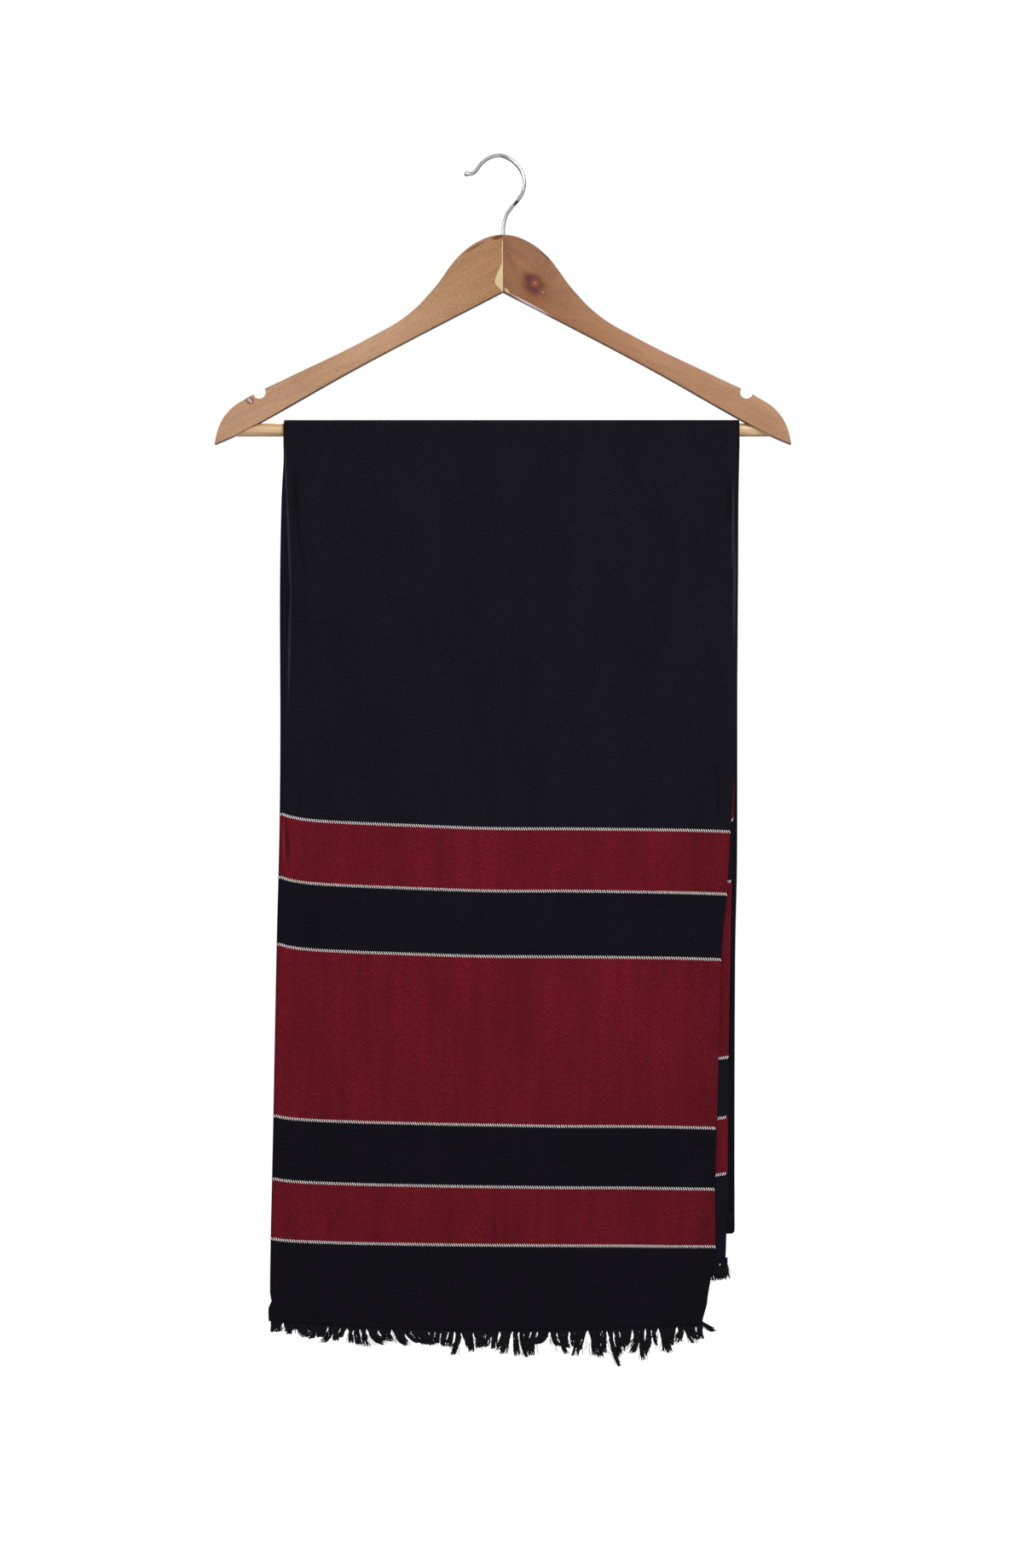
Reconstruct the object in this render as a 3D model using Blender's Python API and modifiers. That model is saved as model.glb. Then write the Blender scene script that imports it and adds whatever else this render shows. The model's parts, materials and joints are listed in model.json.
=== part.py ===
"""A striped shawl, folded in eight plies and hung over the bar of a wooden hanger.

Metres, +Z up, +X to the right of the front, +Y towards the back.
The origin is the underside of the hook's crown, where the hanger hangs on its peg.
"""

import math
import random
from collections import namedtuple

import bmesh
import bpy
from mathutils import Vector

COLLECTION_NAME = "Folded shawl on hanger"
GAP = 0.0003  # left between pieces that touch

# Hanger
ARM_THICKNESS = 0.014
ARM_EDGE_ROUND = 0.0025
ARM_OVERRUN = 0.008  # how far an arm's blank runs past the seam before it is cut
NOTCH_RADIUS = 0.0049
NOTCH_OUT = 0.1877  # from the seam to the middle of the strap notch
NOTCH_Z = -0.1818
BAR_RADIUS = 0.005
BAR_Z = -0.2103
BAR_REACH = 0.2145  # from the seam to either end of the bar
WIRE_RADIUS = 0.0014
SHANK_FOOT_Z = -0.0820
BEAD_RADIUS = 0.0019
BEAD_ANGLES = (50, 80, 110, 140, 165)  # from the wire round to the bead's far end

# Cloth: the wall of one drawn ply, and how deep each lies behind the outer ply's middle
WALL = 0.001
OUTER_RADIUS = 0.0073  # from the bar's axis to the middle of the outer ply
UNDER_DEPTH = 0.0015
FLAP = 0.010  # width turned back behind the left fold
SEAM = 0.0006  # between the flap's edge and the under ply, whose rows lie at other heights
ROLL_FREE = 0.0024  # radius of the left fold where it hangs free
ROLL_ON_BAR = 0.00075  # and where the bar presses it flat
ROLL_IN_FOLD = 0.00065  # and inside the crosswise fold
ROLL_SETTLES = 0.012  # how near the bar the fold is pressed flat
ROLL_OPENS = 0.070  # how far from the bar it is fully open
DIVE = 0.009  # over which the under ply turns in to meet the flap

BACK_FOLD_Z = -0.8292  # underside of the crosswise fold
BACK_FOLD_RADIUS = 0.0025
BACK_RETURN = 0.014  # how far the outer ply runs up again inside the fold
BACK_FOLD_NEAR = 0.030  # above the fold, the height over which the left roll is flat again

STATIONS = tuple(-0.144 + 0.0291 * index for index in range(11))  # columns shared by every ply
NEAR_COLUMN = 0.006  # and one more beside the outer ply's left roll
ROLL_STEPS = 4
BAR_STEPS = 8
FOLD_STEPS = 6

# Left fold's pull on the weft lines, as shares of their rise
PULL_NEAR = 0.38
PULL_NEAR_REACH = 0.02
PULL_WIDE = 0.47
PULL_WIDE_POWER = 3.0
PULL_REST_POWER = 0.5

FrontRow = namedtuple("FrontRow", "x_left x_right z_left z_right sag spans red_below")
OUTER_FRONT = (  # from the bar down to the hem; the rows between bands lie on the white threads
    FrontRow(-0.1692, 0.1823, -0.2223, -0.2223, 0.0, 1, False),
    FrontRow(-0.1690, 0.1820, -0.2350, -0.2350, 0.0, 2, False),
    FrontRow(-0.1682, 0.1814, -0.2700, -0.2700, 0.0, 3, False),
    FrontRow(-0.1679, 0.1804, -0.3380, -0.3400, 0.0, 3, False),
    FrontRow(-0.1696, 0.1791, -0.4380, -0.4490, 0.0, 2, False),
    FrontRow(-0.1725, 0.1751, -0.5067, -0.5205, 0.0, 2, True),
    FrontRow(-0.1738, 0.1725, -0.5554, -0.5686, 0.0, 2, False),
    FrontRow(-0.1745, 0.1682, -0.6071, -0.6189, 0.0, 4, True),
    FrontRow(-0.1771, 0.1646, -0.7401, -0.7486, 0.0, 2, False),
    FrontRow(-0.1781, 0.1633, -0.7884, -0.7957, 0.0, 2, True),
    FrontRow(-0.1791, 0.1633, -0.8345, -0.8401, 0.0, 2, False),
    FrontRow(-0.1793, 0.1586, -0.8800, -0.8826, 0.0025, 1, False),
    FrontRow(-0.1804, 0.1540, -0.8978, -0.8991, 0.0055, 0, False),
)
UNDER_FRONT = (  # the same stripes on the under ply, which hangs askew and higher at the right
    FrontRow(0.0, 0.1798, -0.2823, -0.2823, 0.0, 3, False),
    FrontRow(0.0, 0.1797, -0.3480, -0.3230, 0.0, 2, False),
    FrontRow(0.0, 0.1794, -0.4300, -0.3850, 0.0, 2, False),
    FrontRow(0.0, 0.1788, -0.5067, -0.4547, 0.0, 1, True),
    FrontRow(0.0, 0.1775, -0.5554, -0.5113, 0.0, 1, False),
    FrontRow(0.0, 0.1762, -0.6071, -0.5587, 0.0, 2, True),
    FrontRow(0.0, 0.1744, -0.7401, -0.6943, 0.0, 1, False),
    FrontRow(0.0, 0.1735, -0.7884, -0.7404, 0.0, 1, True),
    FrontRow(0.0, 0.1731, -0.8345, -0.7839, 0.0, 1, False),
    FrontRow(0.0, 0.1714, -0.8800, -0.8338, 0.0, 1, False),
    FrontRow(0.0, 0.1705, -0.8978, -0.8517, 0.0, 0, False),
)
BackRow = namedtuple("BackRow", "x_left x_right z spans")
OUTER_BACK = (  # from the bar down to the start of the crosswise fold
    BackRow(-0.1692, 0.1823, -0.2223, 1),
    BackRow(-0.1696, 0.1820, -0.2400, 1),
    BackRow(-0.1706, 0.1812, -0.2700, 4),
    BackRow(-0.1719, 0.1804, -0.4100, 2),
    BackRow(-0.1716, 0.1800, -0.5400, 1),
    BackRow(-0.1712, 0.1784, -0.6200, 2),
    BackRow(-0.1712, 0.1778, -0.7700, 2),
    BackRow(-0.1712, 0.1778, -0.8050, 1),
    BackRow(-0.1710, 0.1774, -0.8262, 0),
)

# Soft vertical troughs and ridges shared by every ply that hangs below the bar
Ripple = namedtuple("Ripple", "x_top x_hem half_width depth")
RIPPLES = (
    Ripple(-0.140, -0.152, 0.028, 0.0010),
    Ripple(-0.088, -0.104, 0.034, -0.0016),
    Ripple(-0.024, -0.018, 0.040, 0.0021),
    Ripple(0.038, 0.050, 0.030, -0.0015),
    Ripple(0.092, 0.100, 0.032, 0.0017),
    Ripple(0.150, 0.142, 0.028, -0.0015),
)
RIPPLE_FADE = 0.20  # below the bar, the height over which they grow
RIPPLE_BOTTOM_Z = -0.90

# Hidden plies: near and far are depths behind the outer ply's middle
FoldsRow = namedtuple("FoldsRow", "x_left x_right z near far spans")
FOLDS_FRONT = (  # from the bottom of the front up to the bar
    FoldsRow(-0.1440, 0.1650, -0.8460, 0.0023, 0.0045, 1),
    FoldsRow(-0.1440, 0.1690, -0.7400, 0.0023, 0.0045, 1),
    FoldsRow(-0.1410, 0.1720, -0.6100, 0.0023, 0.0045, 1),
    FoldsRow(-0.1370, 0.1745, -0.5000, 0.0023, 0.0045, 2),
    FoldsRow(-0.1350, 0.1755, -0.4000, 0.0023, 0.0045, 2),
    FoldsRow(-0.1350, 0.1758, -0.3300, 0.0023, 0.0045, 1),
    FoldsRow(-0.1350, 0.1760, -0.3050, 0.0023, 0.0045, 1),
    FoldsRow(-0.1350, 0.1762, -0.2815, 0.0023, 0.0045, 1),
    FoldsRow(-0.1360, 0.1765, -0.2680, 0.0010, 0.0040, 1),
    FoldsRow(-0.1420, 0.1770, -0.2450, 0.0010, 0.0034, 1),
    FoldsRow(-0.1520, 0.1780, -0.2230, 0.0010, 0.0026, 1),
    FoldsRow(-0.1560, 0.1790, -0.2103, 0.0010, 0.0020, 0),
)
FOLDS_BACK = (
    FoldsRow(-0.1560, 0.1790, -0.2103, 0.0010, 0.0020, 1),
    FoldsRow(-0.1560, 0.1785, -0.2230, 0.0010, 0.0032, 2),
    FoldsRow(-0.1560, 0.1775, -0.2700, 0.0008, 0.0042, 4),
    FoldsRow(-0.1565, 0.1770, -0.4100, 0.0008, 0.0042, 2),
    FoldsRow(-0.1560, 0.1750, -0.6200, 0.0008, 0.0042, 2),
    FoldsRow(-0.1560, 0.1745, -0.8262, 0.0008, 0.0042, 0),
)
FOLDS_GROOVE = 0.0035  # how deep the grooves between the layers run in from the edges
FOLDS_STEPS = (0.0, 0.0022, 0.0009)  # how far each layer's lip stands back
LIP_SHARES = (0.14, 0.86)  # where a lip's corners lie in its layer's thickness
ROUND_ENDS = ((0.55, 0.835), (0.88, 0.475), (0.98, 0.2))  # how far out, and what thickness is left

# Fringe
STRIP_HEIGHT = 0.002
LOCK_SHARE = 0.6  # of the pitch; the rest is the space to the next lock
OUTER_LOCKS = 68
UNDER_LOCKS = 60
LOCK_STEPS = ((0.6, 0.82), (0.4, 0.5))  # share of the length, and of the last width
LOCK_FULLNESS = 1.35  # how much thicker a lock grows than its strip
LOCK_SPREAD = 0.30  # how far lengths stray from the table
LOCK_LEAN = 0.0030  # furthest that a tip strays sideways
TIP_SPACING = 0.0022
LockLength = namedtuple("LockLength", "across length")
OUTER_LENGTHS = (
    LockLength(0.00, 0.008),
    LockLength(0.12, 0.011),
    LockLength(0.32, 0.013),
    LockLength(0.55, 0.017),
    LockLength(0.72, 0.021),
    LockLength(0.86, 0.025),
    LockLength(0.94, 0.018),
    LockLength(1.00, 0.012),
)
UNDER_LENGTHS = (LockLength(0.0, 0.010), LockLength(0.5, 0.014), LockLength(1.0, 0.015))

# Outline of an arm, from the seam outward and back
ArmPoint = namedtuple("ArmPoint", "out z handle")
ARM_OUTLINE = (
    ArmPoint(-ARM_OVERRUN, -0.0612, "VECTOR"),
    ArmPoint(0.0040, -0.0606, "AUTO"),
    ArmPoint(0.0180, -0.0650, "AUTO"),
    ArmPoint(0.0329, -0.0758, "AUTO"),
    ArmPoint(0.0540, -0.1027, "AUTO"),
    ArmPoint(0.0735, -0.1222, "AUTO"),
    ArmPoint(0.1014, -0.1390, "AUTO"),
    ArmPoint(0.1670, -0.1712, "AUTO"),
    ArmPoint(0.1960, -0.1855, "AUTO"),
    ArmPoint(0.2105, -0.1955, "AUTO"),
    ArmPoint(0.2185, -0.2075, "AUTO"),
    ArmPoint(0.2225, -0.2205, "VECTOR"),
    ArmPoint(0.2070, -0.2148, "AUTO"),
    ArmPoint(0.1066, -0.1592, "AUTO"),
    ArmPoint(0.0000, -0.1036, "VECTOR"),
    ArmPoint(-ARM_OVERRUN, -0.1036, "VECTOR"),
)

# Middle line of the hook's wire, from its foot to the bead at its open end
HOOK_ROUTE = (
    (0.0000, SHANK_FOOT_Z),
    (0.0000, -0.0680),
    (0.0002, -0.0545),
    (0.0022, -0.0452),
    (0.0064, -0.0385),
    (0.0116, -0.0325),
    (0.0155, -0.0255),
    (0.0163, -0.0170),
    (0.0132, -0.0085),
    (0.0070, -0.0022),
    (0.0000, WIRE_RADIUS),
    (-0.0062, 0.0015),
    (-0.0122, -0.0008),
    (-0.0170, -0.0047),
    (-0.0208, -0.0098),
    (-0.0236, -0.0120),
    (-0.0262, -0.0124),
)
HOOK_SPANS = 2

COLOURS = {
    "black_wool": (0.009, 0.008, 0.013),
    "red_wool": (0.115, 0.008, 0.013),
    "beech": (0.47, 0.26, 0.14),
    "beech_red": (0.44, 0.22, 0.12),
    "pale_dowel": (0.58, 0.38, 0.21),
    "chrome": (0.70, 0.70, 0.72),
}


# Scene and materials


def clear_scene():
    for item in list(bpy.data.objects):
        bpy.data.objects.remove(item, do_unlink=True)


def new_collection(name):
    collection = bpy.data.collections.new(name)
    bpy.context.scene.collection.children.link(collection)
    return collection


def material(name, roughness, metallic=0.0):
    made = bpy.data.materials.new(name)
    made.use_nodes = True
    shader = made.node_tree.nodes["Principled BSDF"]
    shader.inputs["Base Color"].default_value = (*COLOURS[name], 1.0)
    shader.inputs["Roughness"].default_value = roughness
    shader.inputs["Metallic"].default_value = metallic
    made.diffuse_color = (*COLOURS[name], 1.0)
    return made


def add_object(name, data, collection, *materials):
    item = bpy.data.objects.new(name, data)
    for each in materials:
        data.materials.append(each)
    collection.objects.link(item)
    return item


# Curves of the drape


def smooth_step(share):
    share = min(max(share, 0.0), 1.0)
    return share * share * (3 - 2 * share)


def blend(a, b, share):
    return a + (b - a) * share


def through(before, start, end, after, share):
    """A smooth curve's value between start and end, given its neighbours."""
    bend = 2 * before - 5 * start + 4 * end - after
    twist = 3 * (start - end) + after - before
    return start + 0.5 * share * ((end - before) + share * (bend + share * twist))


def smooth_rows(rows):
    """The rows with smooth ones put between them, as many as each row's spans."""
    made = []
    for index, row in enumerate(rows[:-1]):
        before = rows[max(index - 1, 0)]
        end = rows[index + 1]
        after = rows[min(index + 2, len(rows) - 1)]
        for step in range(row.spans):
            share = step / row.spans
            values = [
                value
                if name in ("spans", "red_below")
                else through(getattr(before, name), value, getattr(end, name), getattr(after, name), share)
                for name, value in zip(row._fields, row)
            ]
            made.append(type(row)(*values))
    made.append(rows[-1])
    return made


def ripple_at_station(x, z):
    fade = smooth_step((BAR_Z - z) / RIPPLE_FADE)
    down = (BAR_Z - z) / (BAR_Z - RIPPLE_BOTTOM_Z)
    total = 0.0
    for fold in RIPPLES:
        middle = blend(fold.x_top, fold.x_hem, down)
        total += fold.depth * math.exp(-(((x - middle) / fold.half_width) ** 2))
    return fade * total


def ripple(x, z):
    """How far the soft folds push the cloth back here: straight between stations, so plies never meet."""
    pitch = STATIONS[1] - STATIONS[0]
    along = min(max((x - STATIONS[0]) / pitch, 0.0), len(STATIONS) - 1.0)
    left = min(int(along), len(STATIONS) - 2)
    return blend(ripple_at_station(STATIONS[left], z), ripple_at_station(STATIONS[left + 1], z), along - left)


def front_point(x, z, depth):
    return Vector((x, -OUTER_RADIUS + depth + ripple(x, z), z))


def bar_point(x, angle, depth):
    """Over the bar: angle 0 is level with its axis in front, and pi behind."""
    radius = OUTER_RADIUS - depth
    return Vector((x, -radius * math.cos(angle), BAR_Z + radius * math.sin(angle)))


def back_point(x, z, depth):
    return Vector((x, OUTER_RADIUS - depth + ripple(x, z), z))


def fold_point(x, angle, rise, depth):
    """Round the crosswise fold: angle 0 behind, pi inside, then up by rise."""
    radius = BACK_FOLD_RADIUS - depth
    middle_y = OUTER_RADIUS - BACK_FOLD_RADIUS
    middle_z = BACK_FOLD_Z + WALL / 2 + BACK_FOLD_RADIUS
    z = middle_z - radius * math.sin(angle) + rise
    return Vector((x, middle_y + radius * math.cos(angle) + ripple(x, z), z))


def front_roll(z):
    opened = smooth_step((BAR_Z - z - ROLL_SETTLES) / (ROLL_OPENS - ROLL_SETTLES))
    return blend(ROLL_ON_BAR, ROLL_FREE, opened)


def back_roll(z):
    opened = smooth_step((BAR_Z - z - ROLL_SETTLES) / (ROLL_OPENS - ROLL_SETTLES))
    closed = smooth_step((BACK_FOLD_Z + 2 * BACK_FOLD_NEAR - z) / BACK_FOLD_NEAR)
    return blend(blend(ROLL_ON_BAR, ROLL_FREE, opened), ROLL_IN_FOLD, closed)


def pull(across):
    """Share of the left fold's rise that a weft line has at this share of the width."""
    near = PULL_NEAR * math.exp(-across / PULL_NEAR_REACH)
    wide = PULL_WIDE * (1 - across) ** PULL_WIDE_POWER
    rest = (1 - PULL_NEAR - PULL_WIDE) * (1 - across) ** PULL_REST_POWER
    return near + wide + rest


def outer_z(row, across):
    across = min(max(across, 0.0), 1.0)
    level = row.z_right + (row.z_left - row.z_right) * pull(across)
    return level - row.sag * 4 * across * (1 - across)


def under_z(row, across):
    return blend(row.z_left, row.z_right, across)


def outer_section(x_left, x_right, roll):
    """The outer ply's (x, depth, share across) from its flap round the left roll to its right edge."""
    centre = x_left + WALL / 2 + roll
    section = [(centre + FLAP, 2 * roll, 0.0)]
    for step in range(ROLL_STEPS + 1):
        angle = math.pi * (1 - step / ROLL_STEPS)
        section.append((centre - roll * math.sin(angle), roll * (1 - math.cos(angle)), 0.0))
    for x in (centre + NEAR_COLUMN, *STATIONS, x_right):
        section.append((x, 0.0, (x - centre) / (x_right - centre)))
    return section


def under_depth(x, start, roll):
    turned_in = smooth_step((start + DIVE - x) / DIVE)
    return blend(UNDER_DEPTH, 2 * roll, turned_in)


# Cloth


def sheet(name, grid, reds, collection, black, red):
    """A cloth ply: a grid of points as an open surface, given its wall by Solidify."""
    columns = len(grid[0])
    points = [point for line in grid for point in line]
    faces = []
    for r in range(len(grid) - 1):
        for c in range(columns - 1):
            corner = r * columns + c
            faces.append((corner, corner + 1, corner + columns + 1, corner + columns))
    mesh = bpy.data.meshes.new(name)
    mesh.from_pydata(points, [], faces)
    item = add_object(name, mesh, collection, black, red)
    for polygon in mesh.polygons:
        polygon.material_index = int(reds[polygon.index // (columns - 1)])
    mesh.shade_smooth()
    solidify = item.modifiers.new("Wall", "SOLIDIFY")
    solidify.thickness = WALL
    solidify.offset = 0.0
    solidify.use_even_offset = True
    solidify.use_quality_normals = True
    return item


def outer_ply(collection, black, red):
    front = smooth_rows(OUTER_FRONT)
    back = smooth_rows(OUTER_BACK)
    grid = []
    reds = []
    for row in reversed(front):
        section = outer_section(row.x_left, row.x_right, front_roll(row.z_left))
        grid.append([front_point(x, outer_z(row, across), depth) for x, depth, across in section])
        reds.append(row.red_below)
    reds = reds[1:]
    top = outer_section(OUTER_BACK[0].x_left, OUTER_BACK[0].x_right, ROLL_ON_BAR)
    for step in range(BAR_STEPS + 1):
        angle = math.pi * step / BAR_STEPS
        grid.append([bar_point(x, angle, depth) for x, depth, _ in top])
    for row in back:
        section = outer_section(row.x_left, row.x_right, back_roll(row.z))
        grid.append([back_point(x, row.z, depth) for x, depth, _ in section])
    last = back[-1]
    section = outer_section(last.x_left, last.x_right, ROLL_IN_FOLD)
    for step in range(1, FOLD_STEPS + 1):
        angle = math.pi * step / FOLD_STEPS
        grid.append([fold_point(x, angle, 0.0, depth) for x, depth, _ in section])
    grid.append([fold_point(x, math.pi, BACK_RETURN, depth) for x, depth, _ in section])
    reds += [False] * (len(grid) - 1 - len(reds))
    return sheet("shawl_outer", grid, reds, collection, black, red)


def outer_left_at(z):
    """The outer ply's left edge at a height in front, straight between its rows."""
    rows = smooth_rows(OUTER_FRONT)
    for upper, lower in zip(rows, rows[1:]):
        if z >= lower.z_left:
            share = (upper.z_left - z) / (upper.z_left - lower.z_left)
            return blend(upper.x_left, lower.x_left, min(max(share, 0.0), 1.0))
    return rows[-1].x_left


def under_start(row):
    """Where the under ply starts, beside the outer ply's flap, and the left fold's radius there."""
    roll = front_roll(row.z_left)
    return outer_left_at(row.z_left) + WALL / 2 + roll + FLAP + SEAM, roll


def under_point(row, x, drop=0.0):
    """A point of the under ply at this place across it, or of its fringe strip below it."""
    start, roll = under_start(row)
    across = (x - start) / (row.x_right - start)
    return front_point(x, under_z(row, across) - drop, under_depth(x, start, roll))


def under_ply(collection, black, red):
    rows = list(reversed(smooth_rows(UNDER_FRONT)))
    grid = []
    for row in rows:
        start, _ = under_start(row)
        dive = [blend(start, STATIONS[0], share) for share in (0.0, 0.3, 0.6)]
        grid.append([under_point(row, x) for x in (*dive, *STATIONS, row.x_right)])
    reds = [row.red_below for row in rows[1:]]
    return sheet("shawl_under", grid, reds, collection, black, red)


def folds_section(row, near, far):
    """(x, depth) round the hidden plies, with a lip for each layer at either end."""
    thickness = (far - near) / len(FOLDS_STEPS)
    first = row.x_left + FOLDS_GROOVE
    last = row.x_right - FOLDS_GROOVE
    across = [first, max(first + FOLDS_GROOVE, STATIONS[0]), *STATIONS[1:], last]
    section = [(x, near) for x in across]
    for index, step in enumerate(FOLDS_STEPS):
        for share in LIP_SHARES:
            section.append((row.x_right - step, near + thickness * (index + share)))
        if index < len(FOLDS_STEPS) - 1:
            section.append((last, near + thickness * (index + 1)))
    section += [(x, far) for x in reversed(across)]
    for index, step in reversed(list(enumerate(FOLDS_STEPS))):
        for share in reversed(LIP_SHARES):
            section.append((row.x_left + step, near + thickness * (index + share)))
        if index > 0:
            section.append((first, near + thickness * index))
    return section


def loft(name, rings, collection, surface):
    """A closed solid through rings that have the same number of points."""
    count = len(rings[0])
    shape = bmesh.new()
    made = [[shape.verts.new(point) for point in ring] for ring in rings]
    for ring, following in zip(made, made[1:]):
        for index in range(count):
            turn = (index + 1) % count
            shape.faces.new((ring[index], ring[turn], following[turn], following[index]))
    shape.faces.new(made[0])
    shape.faces.new(list(reversed(made[-1])))
    bmesh.ops.recalc_face_normals(shape, faces=shape.faces)
    mesh = bpy.data.meshes.new(name)
    shape.to_mesh(mesh)
    shape.free()
    mesh.shade_smooth()
    return add_object(name, mesh, collection, surface)


def rounded_end(row, place):
    """Rings that close the hidden plies with a half round, from its tip to its root."""
    middle = (row.near + row.far) / 2
    half = (row.far - row.near) / 2
    rings = []
    for out, left in reversed(ROUND_ENDS):
        section = folds_section(row, middle - half * left, middle + half * left)
        rings.append([place(x, row.z - half * out, depth) for x, depth in section])
    return rings


def hidden_plies(collection, surface):
    rings = rounded_end(FOLDS_FRONT[0], front_point)
    for row in smooth_rows(FOLDS_FRONT)[:-1]:
        section = folds_section(row, row.near, row.far)
        rings.append([front_point(x, row.z, depth) for x, depth in section])
    top = FOLDS_BACK[0]
    section = folds_section(top, top.near, top.far)
    for step in range(BAR_STEPS + 1):
        angle = math.pi * step / BAR_STEPS
        rings.append([bar_point(x, angle, depth) for x, depth in section])
    for row in smooth_rows(FOLDS_BACK)[1:]:
        section = folds_section(row, row.near, row.far)
        rings.append([back_point(x, row.z, depth) for x, depth in section])
    rings += reversed(rounded_end(FOLDS_BACK[-1], back_point))
    return loft("shawl_folds", rings, collection, surface)


# Fringe


def length_at(lengths, across):
    for start, end in zip(lengths, lengths[1:]):
        if across <= end.across:
            share = (across - start.across) / (end.across - start.across)
            return blend(start.length, end.length, share)
    return lengths[-1].length


def strip_columns(count, hem):
    """Corners of the strip where each lock starts and ends, hung below the cloth's hem."""
    pitch = 1 / (count - 1 + LOCK_SHARE)
    columns = []
    for lock in range(count):
        for across in (lock * pitch, (lock + LOCK_SHARE) * pitch):
            across = min(across, 1.0)
            columns.append([
                hem(across, GAP, -WALL / 2),
                hem(across, GAP, WALL / 2),
                hem(across, GAP + STRIP_HEIGHT, WALL / 2),
                hem(across, GAP + STRIP_HEIGHT, -WALL / 2),
            ])
    return columns


def fringe(name, count, lengths, hem, inward, seed, collection, surface):
    """A narrow strip with a lock drawn down out of every second stretch of its underside."""
    draws = random.Random(seed)
    shape = bmesh.new()
    columns = [[shape.verts.new(point) for point in column] for column in strip_columns(count, hem)]
    roots = []
    for index, (left, right) in enumerate(zip(columns, columns[1:])):
        for corner in range(4):
            turn = (corner + 1) % 4
            face = shape.faces.new((left[corner], left[turn], right[turn], right[corner]))
            if corner == 2 and index % 2 == 0:
                roots.append(face)
    shape.faces.new(columns[0])
    shape.faces.new(list(reversed(columns[-1])))
    tip_limit = -1.0
    for index, face in enumerate(roots):
        root = face.calc_center_median()
        length = length_at(lengths, index / (count - 1)) * (1 + LOCK_SPREAD * draws.uniform(-1, 1))
        lean = LOCK_LEAN * draws.uniform(-1, 1)
        tip_limit = max(root.x + lean, tip_limit + TIP_SPACING)
        lean = tip_limit - root.x
        sway = inward * 0.002 * draws.random()
        for share, width in LOCK_STEPS:
            face = bmesh.ops.extrude_discrete_faces(shape, faces=[face])["faces"][0]
            centre = face.calc_center_median()
            moved = centre + Vector((lean * share, sway * share, -length * share))
            for vert in face.verts:
                away = vert.co - centre
                vert.co = moved + Vector((away.x * width, away.y * LOCK_FULLNESS * width, away.z))
    bmesh.ops.recalc_face_normals(shape, faces=shape.faces)
    mesh = bpy.data.meshes.new(name)
    shape.to_mesh(mesh)
    shape.free()
    return add_object(name, mesh, collection, surface)


def outer_hem(across, drop, depth):
    row = OUTER_FRONT[-1]
    roll = front_roll(row.z_left)
    start = row.x_left + WALL / 2 + roll
    x = blend(start, row.x_right, across)
    return front_point(x, outer_z(row, across) - drop, depth)


def under_hem(across, drop, depth):
    row = UNDER_FRONT[-1]
    start, _ = under_start(row)
    point = under_point(row, blend(start, row.x_right, across), drop)
    point.y += depth
    return point


# Hanger


def mesh_from_curve(curve_object, collection):
    """The curve's evaluated shape as a welded mesh object of the same name."""
    name = curve_object.name
    bpy.context.view_layer.update()
    graph = bpy.context.evaluated_depsgraph_get()
    mesh = bpy.data.meshes.new_from_object(curve_object.evaluated_get(graph))
    matrix = curve_object.matrix_world.copy()
    bpy.data.objects.remove(curve_object, do_unlink=True)
    shape = bmesh.new()
    shape.from_mesh(mesh)
    bmesh.ops.remove_doubles(shape, verts=shape.verts, dist=0.00001)
    bmesh.ops.recalc_face_normals(shape, faces=shape.faces)
    shape.to_mesh(mesh)
    shape.free()
    item = bpy.data.objects.new(name, mesh)
    item.matrix_world = matrix
    collection.objects.link(item)
    return item


def cutter_cylinder(name, radius, depth, location, rotation, cutters):
    bpy.ops.mesh.primitive_cylinder_add(
        vertices=24, radius=radius, depth=depth, location=location, rotation=rotation
    )
    return as_cutter(name, cutters)


def cutter_box(name, size, location, cutters):
    bpy.ops.mesh.primitive_cube_add(size=1.0, location=location, scale=size)
    return as_cutter(name, cutters)


def as_cutter(name, cutters):
    item = bpy.context.active_object
    item.name = name
    for holder in list(item.users_collection):
        holder.objects.unlink(item)
    cutters.objects.link(item)
    item.hide_render = True
    item.display_type = "WIRE"
    return item


def cut(item, cutter):
    boolean = item.modifiers.new(cutter.name, "BOOLEAN")
    boolean.operation = "DIFFERENCE"
    boolean.object = cutter


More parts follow.
